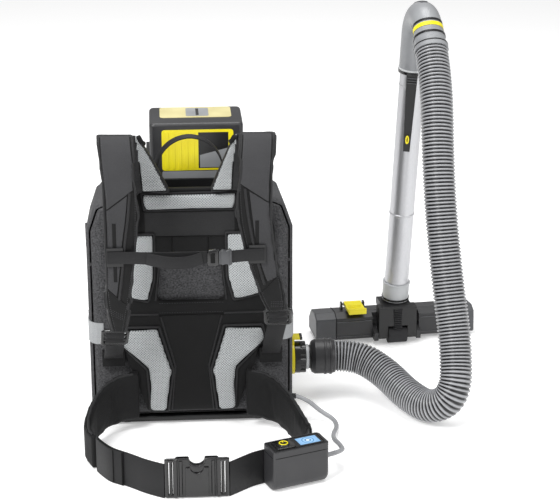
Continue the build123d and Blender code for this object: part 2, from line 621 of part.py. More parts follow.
HOSE_POINTS = [(CUFF_END, PORT_Y, PORT_Z), (248, 5, 58), (286, -25, 43), (314, -74, 28), (342, -118, 25),
               (372, -133, 57), (378, -106, 114), (370, -72, 190), (362, -40, 280), (359, -8, 368)]
CABLE_POINTS = [(PACK_HALF_WIDTH + 5, gland_y, gland_z), (166, -80, 27), (184, -90, 13), (203, -104, 6),
                (206, -130, 6), (197, -160, 10), (194, -192, 17), (199, -226, 25)]


# ---------------------------------------------------------------- wand
wand_place = Place(Pos(*WAND_FOOT) * Rot(0, WAND_LEAN_Y, 0) * Rot(WAND_LEAN_X, 0, 0) * Rot(0, 0, WAND_TURN))
head_place = Place(Pos(HEAD_X, HEAD_Y, 0) * Rot(0, 0, WAND_TURN))
elbow_start = TUBE_LENGTH + 10
exit_rad = math.radians(ELBOW_ANGLE)
exit_dir = Vector(0, -math.sin(exit_rad), math.cos(exit_rad))
exit_point = Vector(0, -ELBOW_BEND + ELBOW_BEND * math.cos(exit_rad), elbow_start + ELBOW_BEND * math.sin(exit_rad))


def exit_frame(distance):
    return Location(Plane(origin=exit_point + exit_dir * distance, x_dir=(1, 0, 0), z_dir=exit_dir))


def ring(outer, inner, length):
    return revolved([(inner, 0), (outer, 0), (outer, length), (inner, length)])


def make_handle():
    start = Plane(origin=(0, 0, elbow_start), z_dir=(0, 0, 1))
    path = CenterArc((0, 0, 0), ELBOW_BEND, 0, ELBOW_ANGLE)
    arc_plane = Plane(origin=(0, -ELBOW_BEND, elbow_start), x_dir=(0, 1, 0), z_dir=(1, 0, 0))
    path = arc_plane * path
    bend = sweep(start * Circle(ELBOW_RADIUS), path=path) - sweep(start * Circle(DUCT_BORE + 1), path=path)
    sleeve = Pos(0, 0, TUBE_LENGTH - 45) * ring(ELBOW_RADIUS, TUBE_RADIUS, 45)
    sleeve += Pos(0, 0, TUBE_LENGTH) * ring(ELBOW_RADIUS, DUCT_BORE + 1, 10)
    spigot = exit_frame(0) * ring(TUBE_RADIUS - 1.2, DUCT_BORE + 1, 32)
    stop = exit_frame(6.6) * ring(ELBOW_RADIUS + 0.5, TUBE_RADIUS - 1.3, 5)
    add("handle_shell", wand_place * (sleeve + bend + spigot + stop))
    add("air_ring", wand_place * (exit_frame(FIT) * ring(ELBOW_RADIUS + 1, TUBE_RADIUS - 0.9, 6)))
    swivel = exit_frame(11.9) * ring(ELBOW_RADIUS + 1.5, TUBE_RADIUS - 0.9, 20.1)
    swivel += exit_frame(32.3) * ring(ELBOW_RADIUS + 3.5, DUCT_BORE + 1, 7)
    swivel += exit_frame(31) * (ring(ELBOW_RADIUS + 1.5, TUBE_RADIUS - 0.9, 1.4))
    add("hose_swivel", wand_place * swivel)
    inner_y = -TUBE_RADIUS - 0.2
    grip = extrude(Plane.XY.offset(TUBE_LENGTH - 45) * Pos(0, inner_y - 5) * Rectangle(17, 10),
                   amount=-125, taper=1.6)
    grip -= rod((0, 0, 200), (0, 0, TUBE_LENGTH), TUBE_RADIUS + 0.2)
    add("handle_grip", wand_place * (Rot(0, 0, GRIP_TURN) * fillet(grip.edges().sort_by(Axis.Y)[:1], 2)))


def make_tube():
    tube = ring(TUBE_RADIUS, TUBE_RADIUS - TUBE_WALL, TUBE_LENGTH)
    add("suction_tube", wand_place * tube)
    socket = Pos(0, 0, -22) * ring(TUBE_RADIUS + 2, DUCT_BORE, 22)
    socket += ring(TUBE_RADIUS + 2, TUBE_RADIUS, 8)
    add("tube_socket", wand_place * socket)


# ---------------------------------------------------------------- floor nozzle
HEAD_PROFILE = [(-24, 6), (40, 6), (41, 26), (24, 44), (-6, 48), (-22, 42)]
PEDAL_Y = 10.0
PEDAL_Z = 55.0


def make_head():
    half = HEAD_HALF_LENGTH
    inner = half - HEAD_CAP_LENGTH
    body = side_prism(HEAD_PROFILE, -inner, inner, 3)
    body -= block(-inner + 8, inner - 8, -14, 24, 5, 34)
    body -= block(-38, 38, -30, -12, 0, 60)
    slot_z = 6 + 18
    body -= block(-inner - 1, inner + 1, 29.6, 36.4, 5, slot_z)
    for x in (-83, -47):
        lug = side_prism([(4, 40), (16, 40), (14, 58), (6, 58)], x - 1.5, x + 1.5, 0)
        body += lug - rod((x - 9, PEDAL_Y, PEDAL_Z), (x + 9, PEDAL_Y, PEDAL_Z), 2)
    for x0, x1 in ((-38, -31), (31, 38)):
        ear = side_prism([(-37, 6.5), (-11, 6.5), (-11, 26), (-37, 19.5)], x0, x1, 0)
        body += ear
    body -= rod((-40, PIVOT_Y, ROLLER_RADIUS), (40, PIVOT_Y, ROLLER_RADIUS), 3)
    add("nozzle_body", head_place * body)
    for side in (-1, 1):
        x0, x1 = sorted((side * inner, side * half))
        cap = side_prism(HEAD_PROFILE, x0, x1, 3)
        end = cap.faces().sort_by(Axis.X)[0 if side < 0 else -1]
        add("nozzle_caps", head_place * fillet(end.edges(), 2.5))
    brush = block(-inner + 2, inner - 2, 30, 36, 0, 6 + 18 - BRUSH_TRAVEL - 1)
    add("brush_strip", head_place * brush)
    add("nozzle_pins", head_place * rod((-38, PIVOT_Y, ROLLER_RADIUS), (38, PIVOT_Y, ROLLER_RADIUS), 3))
    roller = rod((-15, PIVOT_Y, ROLLER_RADIUS), (15, PIVOT_Y, ROLLER_RADIUS), ROLLER_RADIUS)
    roller -= rod((-16, PIVOT_Y, ROLLER_RADIUS), (16, PIVOT_Y, ROLLER_RADIUS), 3 + FIT)
    add("nozzle_roller", head_place * roller)
    pedal = block(-79, -51, -34, PEDAL_Y, PEDAL_Z - 2, PEDAL_Z + 2.5)
    pedal += rod((-79, PEDAL_Y, PEDAL_Z), (-51, PEDAL_Y, PEDAL_Z), 4)
    pedal += block(-79, -51, -34, -31, PEDAL_Z, PEDAL_Z + 7)
    pedal -= rod((-85, PEDAL_Y, PEDAL_Z), (-45, PEDAL_Y, PEDAL_Z), 2 + FIT)
    add("nozzle_pedal", head_place * pedal)
    add("nozzle_pins", head_place * rod((-84.5, PEDAL_Y, PEDAL_Z), (-45.5, PEDAL_Y, PEDAL_Z), 2))


def make_neck():
    """Forked neck from the pivot pin up to a turning collar under the tube socket."""
    fork = side_prism([(-38, 9), (-23, 9), (-15, 44), (-15, 61), (-36, 61)], -30.5, 30.5, 2)
    fork -= block(-16, 16, -60, 20, 0, 30)
    fork -= rod((-40, PIVOT_Y, ROLLER_RADIUS), (40, PIVOT_Y, ROLLER_RADIUS), 3 + FIT)
    shoulder = side_prism([(-34, 50), (16, 50), (19, 56), (16, 62), (-34, 62)], -24, 24, 2)
    flange = Pos(0, 0, -31) * ring(TUBE_RADIUS + 3, DUCT_BORE, 31 - 22 - FIT)
    neck = head_place * (fork + shoulder) + wand_place * flange
    neck -= wand_place * rod((0, 0, -70), (0, 0, 0), DUCT_BORE)
    add("nozzle_neck", neck)


def finish():
    os.makedirs("parts", exist_ok=True)
    for name, pieces in PARTS.items():
        shape = pieces[0] if len(pieces) == 1 else Compound(children=pieces)
        export_step(shape, "parts/" + name + ".step")
    print(len(PARTS), "nodes")


make_pack()
make_inside()
make_battery()
make_harness()
make_buckle()
make_control_box()
make_port()
make_handle()
make_tube()
make_head()
make_neck()

hose_end = wand_place * (exit_point + exit_dir * 39.3)
hose_lead = wand_place * (exit_point + exit_dir * 92)
hose_route = HOSE_POINTS + [tuple(hose_lead), tuple(hose_end)]
cable_end = box_place * Vector(BOX_LENGTH / 2 + 4, 4, 30)
cable_lead = box_place * Vector(BOX_LENGTH / 2 + 34, 4, 30)
cable_route = CABLE_POINTS + [tuple(cable_lead), tuple(cable_end)]
for name, points, diameter in (("suction_hose", hose_route, HOSE_DIAMETER),
                               ("control_cable", cable_route, CABLE_DIAMETER)):
    cord, length = tube_along(points, diameter)
    add(name, cord)
    section = math.pi * diameter ** 2 / 4
    radii = [round(r, 1) for r in turn_radii(points)]
    print(name, "length", round(length, 1), "volume", round(cord.volume), "section*length",
          round(section * length), "radii", radii, "ends", points[0], points[-1])
print("hose lead", hose_lead)
finish()
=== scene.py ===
import bpy
import bmesh
import math
from mathutils import Vector, Matrix
from mathutils.bvhtree import BVHTree


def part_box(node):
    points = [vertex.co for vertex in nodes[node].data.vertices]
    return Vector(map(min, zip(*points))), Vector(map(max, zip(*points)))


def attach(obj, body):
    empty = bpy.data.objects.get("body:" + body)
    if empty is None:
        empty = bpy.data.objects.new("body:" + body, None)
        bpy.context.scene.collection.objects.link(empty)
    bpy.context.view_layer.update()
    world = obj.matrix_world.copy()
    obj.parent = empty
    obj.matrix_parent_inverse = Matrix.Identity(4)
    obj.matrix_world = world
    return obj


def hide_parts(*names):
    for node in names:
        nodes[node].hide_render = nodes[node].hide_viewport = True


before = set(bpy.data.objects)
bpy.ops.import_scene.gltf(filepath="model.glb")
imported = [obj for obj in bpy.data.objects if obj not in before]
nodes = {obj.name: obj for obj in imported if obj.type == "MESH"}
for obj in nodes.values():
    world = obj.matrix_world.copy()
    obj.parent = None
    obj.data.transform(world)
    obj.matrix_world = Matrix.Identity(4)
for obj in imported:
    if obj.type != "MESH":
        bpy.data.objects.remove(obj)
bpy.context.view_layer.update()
scene = bpy.context.scene
mm = 0.001


def addNode(tree, kind, settings=None, inputs=None, links=None):
    node = tree.nodes.new(kind)
    for key, value in (settings or {}).items():
        setattr(node, key, value)
    for key, value in (inputs or {}).items():
        node.inputs[key].default_value = value
    for key, (source, output) in (links or {}).items():
        tree.links.new(source.outputs[output], node.inputs[key])
    return node


# ---- camera ----
view = dict(place=(-0.03898, -2.45069, 1.12098), turn=(70, 0, -4), lens=115.3)
cameraData = bpy.data.cameras.new("camera")
cameraData.lens = view["lens"]
cameraData.sensor_width = 36
camera = bpy.data.objects.new("camera", cameraData)
camera.location = view["place"]
camera.rotation_euler = [math.radians(a) for a in view["turn"]]
scene.collection.objects.link(camera)
scene.camera = camera


# ---- materials ----
def linear(code):
    out = []
    for i in (0, 2, 4):
        c = int(code[i:i + 2], 16) / 255
        out.append(c / 12.92 if c <= 0.04045 else ((c + 0.055) / 1.055) ** 2.4)
    return (*out, 1.0)


def newMaterial(name, colour, roughness, metallic=0.0, ior=1.5, **sockets):
    material = bpy.data.materials.new(name)
    material.use_nodes = True
    tree = material.node_tree
    shader = tree.nodes["Principled BSDF"]
    shader.inputs["Base Color"].default_value = linear(colour)
    shader.inputs["Roughness"].default_value = roughness
    shader.inputs["Metallic"].default_value = metallic
    if not metallic:
        shader.inputs["IOR"].default_value = ior
    for key, value in sockets.items():
        shader.inputs[key.replace("_", " ")].default_value = value
    return material, tree, shader


def finishSurface(tree, shader, height, strength, depth, softEdge=0.0):
    bump = addNode(tree, "ShaderNodeBump", inputs={"Strength": strength, "Distance": depth * mm})
    tree.links.new(height, bump.inputs["Height"])
    if softEdge:
        edge = addNode(tree, "ShaderNodeBevel", {"samples": 4}, {"Radius": softEdge * mm})
        tree.links.new(edge.outputs["Normal"], bump.inputs["Normal"])
    tree.links.new(bump.outputs["Normal"], shader.inputs["Normal"])


def mouldedPlastic(name, dark, light, roughness, grain=0.6, depth=0.03, softEdge=0.6, **sockets):
    material, tree, shader = newMaterial(name, light, roughness, **sockets)
    place = addNode(tree, "ShaderNodeTexCoord")
    blotch = addNode(tree, "ShaderNodeTexNoise", inputs={"Scale": 18.0, "Detail": 3.0},
        links={"Vector": (place, "Object")})
    tone = addNode(tree, "ShaderNodeValToRGB", links={"Fac": (blotch, "Fac")})
    tone.color_ramp.elements[0].color = linear(dark)
    tone.color_ramp.elements[1].color = linear(light)
    tone.color_ramp.elements[0].position = 0.3
    tone.color_ramp.elements[1].position = 0.7
    tree.links.new(tone.outputs["Color"], shader.inputs["Base Color"])
    grainNoise = addNode(tree, "ShaderNodeTexNoise", inputs={"Scale": 1 / (grain * mm), "Detail": 2.0},
                         links={"Vector": (place, "Object")})
    finishSurface(tree, shader, grainNoise.outputs["Fac"], 0.35, depth, softEdge)
    rough = addNode(tree, "ShaderNodeMapRange",
        inputs={"To Min": roughness - 0.06, "To Max": roughness + 0.08},
                    links={"Value": (blotch, "Fac")})
    tree.links.new(rough.outputs["Result"], shader.inputs["Roughness"])
    return material


def wovenCloth(name, dark, light, thread=0.9, roughness=0.88, slant=45.0, fleck=0.5, depth=0.25):
    material, tree, shader = newMaterial(name, light, roughness, Sheen_Weight=0.02, Sheen_Roughness=0.5,
        Specular_IOR_Level=0.22)
    shader.inputs["Sheen Tint"].default_value = (0.8, 0.8, 0.82, 1)
    place = addNode(tree, "ShaderNodeTexCoord")
    turned = addNode(tree, "ShaderNodeMapping", inputs={"Rotation": (0, math.radians(slant), 0)},
                     links={"Vector": (place, "Object")})
    size = 1 / (thread * mm) / 3.2
    warp = addNode(tree, "ShaderNodeTexWave", {"bands_direction": "X"}, {"Scale": size, "Distortion": 0.6},
                   {"Vector": (turned, "Vector")})
    weft = addNode(tree, "ShaderNodeTexWave", {"bands_direction": "Z"}, {"Scale": size, "Distortion": 0.6},
                   {"Vector": (turned, "Vector")})
    weave = addNode(tree, "ShaderNodeMath", {"operation": "MULTIPLY"},
        links={0: (warp, "Fac"), 1: (weft, "Fac")})
    fibre = addNode(tree, "ShaderNodeTexNoise", inputs={"Scale": 1 / (1.6 * mm), "Detail": 4.0},
                    links={"Vector": (place, "Object")})
    cloud = addNode(tree, "ShaderNodeTexNoise", inputs={"Scale": 14.0, "Detail": 3.0},
        links={"Vector": (place, "Object")})
    mixed = addNode(tree, "ShaderNodeMath", {"operation": "MULTIPLY_ADD"}, {1: fleck},
        {0: (fibre, "Fac"), 2: (weave, "Value")})
    spread = addNode(tree, "ShaderNodeMath", {"operation": "MULTIPLY_ADD"}, {1: 0.6},
        {0: (cloud, "Fac"), 2: (mixed, "Value")})
    tone = addNode(tree, "ShaderNodeValToRGB", links={"Fac": (spread, "Value")})
    tone.color_ramp.elements[0].color = linear(dark)
    tone.color_ramp.elements[1].color = linear(light)
    tone.color_ramp.elements[0].position = 0.35
    tone.color_ramp.elements[1].position = 1.0
    tree.links.new(tone.outputs["Color"], shader.inputs["Base Color"])
    finishSurface(tree, shader, mixed.outputs["Value"], 0.45, depth)
    return material


def heatherFoam(name, dark, light):
    # laminated foam with a mottled knit face: short pale fibres over charcoal, matt, no clear highlight
    material, tree, shader = newMaterial(name, light, 0.93, Sheen_Weight=0.02, Sheen_Roughness=0.5,
        Specular_IOR_Level=0.2)
    place = addNode(tree, "ShaderNodeTexCoord")
    stretched = addNode(tree, "ShaderNodeMapping", inputs={"Scale": (0.45, 1.0, 1.0)},
        links={"Vector": (place, "Object")})
    fibre = addNode(tree, "ShaderNodeTexNoise",
        inputs={"Scale": 1 / (1.3 * mm), "Detail": 4.0, "Roughness": 0.75},
                    links={"Vector": (stretched, "Vector")})
    patch = addNode(tree, "ShaderNodeTexNoise", inputs={"Scale": 1 / (2.4 * mm), "Detail": 3.0},
        links={"Vector": (place, "Object")})
    both = addNode(tree, "ShaderNodeMath", {"operation": "MULTIPLY_ADD"}, {1: 0.55},
        {0: (patch, "Fac"), 2: (fibre, "Fac")})
    tone = addNode(tree, "ShaderNodeValToRGB", links={"Fac": (both, "Value")})
    tone.color_ramp.elements[0].color = linear(dark)
    tone.color_ramp.elements[1].color = linear(light)
    tone.color_ramp.elements[0].position = 0.52
    tone.color_ramp.elements[1].position = 1.05
    tree.links.new(tone.outputs["Color"], shader.inputs["Base Color"])
    finishSurface(tree, shader, both.outputs["Value"], 0.4, 0.3, 2.5)
    return material


def spacerMesh(name, hole, thread, pitch=3.4):
    # knitted spacer mesh: pale threads round staggered open holes
    material, tree, shader = newMaterial(name, thread, 0.85, Sheen_Weight=0.05)
    place = addNode(tree, "ShaderNodeTexCoord")
    parts = addNode(tree, "ShaderNodeSeparateXYZ", links={"Vector": (place, "Object")})
    waves = []
    for axis, stretch in (("X", 1.0), ("Z", 1.0)):
        angle = addNode(tree, "ShaderNodeMath", {"operation": "MULTIPLY"},
            {1: 2 * math.pi / (pitch * stretch * mm)},
                        {0: (parts, axis)})
        waves.append(addNode(tree, "ShaderNodeMath", {"operation": "SINE"}, links={0: (angle, "Value")}))
    dots = addNode(tree, "ShaderNodeMath", {"operation": "MULTIPLY"},
        links={0: (waves[0], "Value"), 1: (waves[1], "Value")})
    tone = addNode(tree, "ShaderNodeValToRGB", links={"Fac": (dots, "Value")})
    tone.color_ramp.elements[0].color = linear(thread)
    tone.color_ramp.elements[1].color = linear(hole)
    tone.color_ramp.elements[0].position = 0.3
    tone.color_ramp.elements[1].position = 0.7
    tree.links.new(tone.outputs["Color"], shader.inputs["Base Color"])
    deep = addNode(tree, "ShaderNodeMath", {"operation": "MULTIPLY"}, {1: -1.0}, {0: (dots, "Value")})
    finishSurface(tree, shader, deep.outputs["Value"], 0.6, 0.6)
    return material


def webbingCloth(name, dark, light, rib=1.5):
    # woven polyester webbing: fine ribs across, read from the strip's own UV in metres
    material, tree, shader = newMaterial(name, light, 0.55, Sheen_Weight=0.02, Specular_IOR_Level=0.3)
    place = addNode(tree, "ShaderNodeUVMap", {"uv_map": "strip"})
    parts = addNode(tree, "ShaderNodeSeparateXYZ", links={"Vector": (place, "UV")})
    along = addNode(tree, "ShaderNodeMath", {"operation": "MULTIPLY"}, {1: 2 * math.pi / (rib * mm)},
        {0: (parts, "X")})
    across = addNode(tree, "ShaderNodeMath", {"operation": "MULTIPLY"}, {1: 2 * math.pi / (2.2 * mm)},
        {0: (parts, "Y")})
    ribs = addNode(tree, "ShaderNodeMath", {"operation": "SINE"}, links={0: (along, "Value")})
    lines = addNode(tree, "ShaderNodeMath", {"operation": "SINE"}, links={0: (across, "Value")})
    weave = addNode(tree, "ShaderNodeMath", {"operation": "MULTIPLY"},
        links={0: (ribs, "Value"), 1: (lines, "Value")})
    fibre = addNode(tree, "ShaderNodeTexNoise", inputs={"Scale": 900.0, "Detail": 3.0},
        links={"Vector": (place, "UV")})
    mixed = addNode(tree, "ShaderNodeMath", {"operation": "MULTIPLY_ADD"}, {1: 0.35},
        {0: (weave, "Value"), 2: (fibre, "Fac")})
    tone = addNode(tree, "ShaderNodeValToRGB", links={"Fac": (mixed, "Value")})
    tone.color_ramp.elements[0].color = linear(dark)
    tone.color_ramp.elements[1].color = linear(light)
    tone.color_ramp.elements[0].position = 0.25
    tone.color_ramp.elements[1].position = 0.8
    tree.links.new(tone.outputs["Color"], shader.inputs["Base Color"])
    finishSurface(tree, shader, mixed.outputs["Value"], 0.5, 0.25)
    return material


def brushedMetal(name, dark, light, roughness, stretch=(1, 1, 0.04), grain=0.5):
    material, tree, shader = newMaterial(name, light, roughness, 1.0)
    place = addNode(tree, "ShaderNodeTexCoord")
    long = addNode(tree, "ShaderNodeMapping", inputs={"Scale": stretch}, links={"Vector": (place, "Object")})
    lines = addNode(tree, "ShaderNodeTexNoise", inputs={"Scale": 1 / (grain * mm), "Detail": 3.0},
        links={"Vector": (long, "Vector")})
    tone = addNode(tree, "ShaderNodeValToRGB", links={"Fac": (lines, "Fac")})
    tone.color_ramp.elements[0].color = linear(dark)
    tone.color_ramp.elements[1].color = linear(light)
    tree.links.new(tone.outputs["Color"], shader.inputs["Base Color"])
    finishSurface(tree, shader, lines.outputs["Fac"], 0.15, 0.02, 0.4)
    return material


def ribbedHose(name, groove, crest):
    # flexible PVC hose: glossy grey crests lightened as painted highlight and grooves painted near black as
    # painted shade, both from the rib height stored on the mesh
    material, tree, shader = newMaterial(name, crest, 0.36)
    height = addNode(tree, "ShaderNodeAttribute", {"attribute_name": "ribHeight"})
    tone = addNode(tree, "ShaderNodeValToRGB", links={"Fac": (height, "Fac")})
    tone.color_ramp.elements[0].color = linear(groove)
    tone.color_ramp.elements[1].color = linear(crest)
    tone.color_ramp.elements[0].position = 0.42
    tone.color_ramp.elements[1].position = 0.95
    tree.links.new(tone.outputs["Color"], shader.inputs["Base Color"])
    place = addNode(tree, "ShaderNodeTexCoord")
    scuff = addNode(tree, "ShaderNodeTexNoise", inputs={"Scale": 60.0, "Detail": 4.0},
        links={"Vector": (place, "Object")})
    rough = addNode(tree, "ShaderNodeMapRange", inputs={"To Min": 0.2, "To Max": 0.36},
        links={"Value": (scuff, "Fac")})
    tree.links.new(rough.outputs["Result"], shader.inputs["Roughness"])
    return material


paint = {
    "foam": heatherFoam("heatherFoamLaminate", "151515", "58585a"),  # mottled charcoal that stays matt
    "band": wovenCloth("reflectiveTape", "7d7f81", "a5a7a8", 0.6, 0.45, 0, 0.3,
        0.05),  # flat pale band round the body
    "mesh": spacerMesh("spacerMeshKnit", "4e5254", "a9acad", 3.8),  # light open knit with dark holes
    "greyCloth": wovenCloth("smoothPolyester", "272728", "3e3e40", 0.7, 0.7),  # the lighter strap faces
    "midCloth": wovenCloth("midGreyClothPaintedHighlight", "19191a", "2c2c2d", 0.6, 0.6,
        20),  # mid-grey cloth, lightened on bindings and edges as painted highlight
    "blackCloth": wovenCloth("blackPolyester", "080808", "131314", 0.7,
        0.7),  # near-black panels that swallow light
    "deepCloth": wovenCloth("blackClothChannelShade", "050505", "0c0c0d", 1.1, 0.6, 0, 0.3),  # near-black cloth darkened further in the channels as painted shade
    "webbing": webbingCloth("wovenWebbing", "080809", "1b1b1d"),  # black ribbed webbing with a dull sheen
    "thread": wovenCloth("polyesterThread", "3c3c3e", "545456", 0.4, 0.7),  # fine grey stitches
    "paintedShadow": wovenCloth("paintedShadow", "030303", "080808", 0.4, 0.7),  # painted shadow lines along seams, grooves and slots
    "black": mouldedPlastic("mouldedBlackPa6", "0e0e0f", "161617", 0.42),  # plain satin black mouldings
    "gloss": mouldedPlastic("polishedBlackPom", "0b0b0c", "121213", 0.24, 0.6, 0.01, 0.8,
        Coat_Weight=0.2),  # black with clear highlights
    "rubber": mouldedPlastic("softRubber", "18181a", "222224", 0.75, 0.4, 0.05),  # soft dull black
    "darkGrey": mouldedPlastic("mouldedDarkGreyAbs", "222224", "2d2d2f",
        0.42),  # charcoal casing with a faint grain
    "headGrey": mouldedPlastic("mouldedHeadGreyAbs", "1e1e20", "2a2a2c", 0.38),  # dark nozzle body
    "capGrey": mouldedPlastic("mouldedCapGreyAbs", "37383a", "48494c",
        0.4),  # a shade lighter than the nozzle body
    "lightGrey": mouldedPlastic("satinLightGreyAbs", "78797c", "8c8e90", 0.3, 0.6, 0.015,
        0.8),  # mid-grey handle with a soft shine
    "paleGrey": mouldedPlastic("satinPaleGreyAbs", "b1b3b5", "c6c8c9", 0.36, 0.6, 0.015,
        0.8),  # pale fittings
    "yellow": mouldedPlastic("satinYellowAbs", "dcc90c", "ecdf1c", 0.36, 0.6, 0.015,
        0.5),  # clean satin yellow accents
    "tube": brushedMetal("satinSteelTube", "b2b3b6", "c9c9cb", 0.42),  # broad soft metal highlight
    "steel": brushedMetal("turnedSteel", "8f9092", "bcbdbf", 0.3, (1, 1, 1), 0.3),  # small bright pins
    "castMetal": brushedMetal("dieCastAluminium", "8a8b8d", "a9aaac", 0.45, (1, 1, 1),
        0.9),  # dull cast motor case
    "cable": mouldedPlastic("greyCableSheath", "7d7e81", "98999b", 0.5, 0.5, 0.02, 0),  # soft grey sheath
    "hose": ribbedHose("ribbedHoseWithPaintedShade", "060607", "97989b"),  # crests lightened as painted highlight, grooves painted black as painted shade
    "paper": wovenCloth("filterFleece", "b8b29d", "d8d3c1", 1.0, 0.9, 0),  # off-white filter fleece
    "openFoam": wovenCloth("openCellFoam", "2a2a2b", "4c4c4d", 1.8, 0.95, 30, 0.9, 0.6),  # coarse dark foam
    "board": mouldedPlastic("lacqueredBoard", "0d3a1e", "155a30", 0.35, 0.8, 0.02, 0.3),  # green lacquer
    "cell": mouldedPlastic("shrinkWrapFilm", "1b4e87", "2a66a6", 0.3, 0.8, 0.02,
        0.3),  # blue film round the cells
    "bristle": mouldedPlastic("nylonBristle", "121213", "262628", 0.5, 0.5, 0.02, 0),  # dark nylon hairs
    "labelBlack": mouldedPlastic("printedBlackFilm", "101011", "1b1b1c", 0.35, 0.8, 0.01,
        0.2),  # printed black
    "labelGrey": mouldedPlastic("printedGreyFilm", "7c7e80", "8e9092", 0.4, 0.8, 0.01, 0.2),  # printed grey
    "labelCream": mouldedPlastic("printedCreamFilm", "b5ab78", "c9c08f", 0.4, 0.8, 0.01,
        0.2),  # printed cream
}


def displayGlass():
    # printed window under clear acrylic: pale blue with darker rings round its middle
    material, tree, shader = newMaterial("printedDisplayWindow", "86b3dc", 0.12, Coat_Weight=0.6)
    low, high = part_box("display_window")
    centre = (low + high) / 2
    place = addNode(tree, "ShaderNodeTexCoord")
    moved = addNode(tree, "ShaderNodeVectorMath", {"operation": "SUBTRACT"}, {1: centre},
        {0: (place, "Object")})
    flat = addNode(tree, "ShaderNodeVectorMath", {"operation": "MULTIPLY"}, {1: (1, 1, 0)},
        {0: (moved, "Vector")})
    far = addNode(tree, "ShaderNodeVectorMath", {"operation": "LENGTH"}, links={0: (flat, "Vector")})
    size = addNode(tree, "ShaderNodeMath", {"operation": "MULTIPLY"}, {1: 1 / (15 * mm)}, {0: (far, "Value")})
    tone = addNode(tree, "ShaderNodeValToRGB", links={"Fac": (size, "Value")})
    stops = [(0.0, "cfe2f2"), (0.16, "cfe2f2"), (0.2, "3f6f98"), (0.27, "3f6f98"), (0.31, "8fbce3"),
             (0.46, "8fbce3"), (0.5, "4d86b4"), (0.56, "4d86b4"), (0.6, "86b3dc"), (0.95, "7aa9d4")]
    ramp = tone.color_ramp
    for position, code in stops[1:-1]:
        ramp.elements.new(position)
    for element, (position, code) in zip(ramp.elements, stops):
        element.position = position
        element.color = linear(code)
    tree.links.new(tone.outputs["Color"], shader.inputs["Base Color"])
    shader.inputs["Emission Strength"].default_value = 0.0
    return material


paint["display"] = displayGlass()

nodePaint = {
    "body_shell": "foam", "rear_cover": "foam", "base_tray": "black", "base_feet": "rubber",
        "cover_hinge_pins": "steel",
    "reflective_bands": "band", "battery_cradle": "black", "battery_case": "darkGrey",
        "battery_cells": "cell",
    "battery_release": "yellow", "bag_basket": "black", "dust_bag": "paper", "motor_housing": "darkGrey",
    "motor": "castMetal", "fan_wheel": "lightGrey", "exhaust_filter": "paper", "circuit_boards": "board",
    "silencer_foam": "openFoam", "ladder_locks": "black", "hip_buckle_frame": "gloss",
        "hip_buckle_tongue": "gloss",
    "control_box": "darkGrey", "control_panel": "black", "display_window": "display", "power_button": "gloss",
    "cable_glands": "rubber", "port_flange": "black", "port_ring": "yellow", "port_collar": "gloss",
    "hose_cuff": "darkGrey", "handle_shell": "lightGrey", "handle_grip": "black", "air_ring": "yellow",
    "hose_swivel": "lightGrey", "suction_tube": "tube", "tube_socket": "paleGrey", "nozzle_neck": "black",
    "nozzle_body": "headGrey", "nozzle_caps": "capGrey", "nozzle_pins": "steel", "nozzle_roller": "rubber",
    "brush_strip": "bristle", "nozzle_pedal": "yellow", "chest_sliders": "black", "chest_buckle": "gloss",
}
for name, finish in nodePaint.items():
    nodes[name].data.materials.clear()
    nodes[name].data.materials.append(paint[finish])
print("materials done")


# ---- making pieces ----
def link(name, mesh):
    piece = bpy.data.objects.new(name, mesh)
    scene.collection.objects.link(piece)
    return piece


def place(piece, body, slot, *replaced):
    if replaced:
        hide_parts(*replaced)
    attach(piece, body)
    return piece


def bake(source, name, finish=None):
    bpy.context.view_layer.update()
    graph = bpy.context.evaluated_depsgraph_get()
    mesh = bpy.data.meshes.new_from_object(source.evaluated_get(graph), preserve_all_data_layers=True,
        depsgraph=graph)
    mesh.transform(source.matrix_world)
    bpy.data.objects.remove(source)
    piece = link(name, mesh)
    if finish:
        mesh.materials.clear()
        mesh.materials.append(paint[finish])
    return piece


def smooth(piece, angle=None):
    piece.data.shade_smooth()
    if angle:
        piece.data.set_sharp_from_angle(angle=math.radians(angle))
    return piece


def splineCurve(name, points, kind="NURBS", bevel=0.0, sides=4, closed=False):
    data = bpy.data.curves.new(name, "CURVE")
    data.dimensions = "3D"
    data.resolution_u = 12
    data.bevel_depth = bevel
    data.bevel_resolution = sides
    data.use_fill_caps = True
    spline = data.splines.new(kind)
    spline.points.add(len(points) - 1)
    for point, co in zip(spline.points, points):
        point.co = (*co, 1)
    if kind == "NURBS":
        spline.order_u = 3
        spline.use_endpoint_u = True
    spline.use_cyclic_u = closed
    return link(name, data)


def lineOf(points, kind="NURBS"):
    curve = splineCurve("guide", points, kind)
    graph = bpy.context.evaluated_depsgraph_get()
    mesh = bpy.data.meshes.new_from_object(curve.evaluated_get(graph), depsgraph=graph)
    out = [v.co.copy() for v in mesh.vertices]
    bpy.data.objects.remove(curve)
    bpy.data.meshes.remove(mesh)
    return out


def even(points, step):
    out = [points[0].copy()]
    carried = 0.0
    for a, b in zip(points, points[1:]):
        run = (b - a).length
        while carried + run >= step:
            t = (step - carried) / run
            a = a.lerp(b, t)
            run = (b - a).length
            carried = 0.0
            out.append(a.copy())
        carried += run
    if (out[-1] - points[-1]).length > step * 0.3:
        out.append(points[-1].copy())
    return out


def joinPieces(name, pieces):
    mesh = bpy.data.meshes.new(name)
    form = bmesh.new()
    materials = []
    for piece in pieces:
        remap = []
        for material in piece.data.materials:
            if material not in materials:
                materials.append(material)
            remap.append(materials.index(material))
        start = len(form.faces)
        form.from_mesh(piece.data)
        form.faces.ensure_lookup_table()
        for face in form.faces[start:]:
            face.material_index = remap[face.material_index] if remap else 0
    form.to_mesh(mesh)
    form.free()
    for material in materials:
        mesh.materials.append(material)
    for piece in pieces:
        bpy.data.objects.remove(piece)
    return link(name, mesh)


def pipe(name, points, radius, finish, sides=3, closed=False):
    curve = splineCurve(name, points, "POLY", radius, sides, closed)
    return smooth(bake(curve, name, finish))


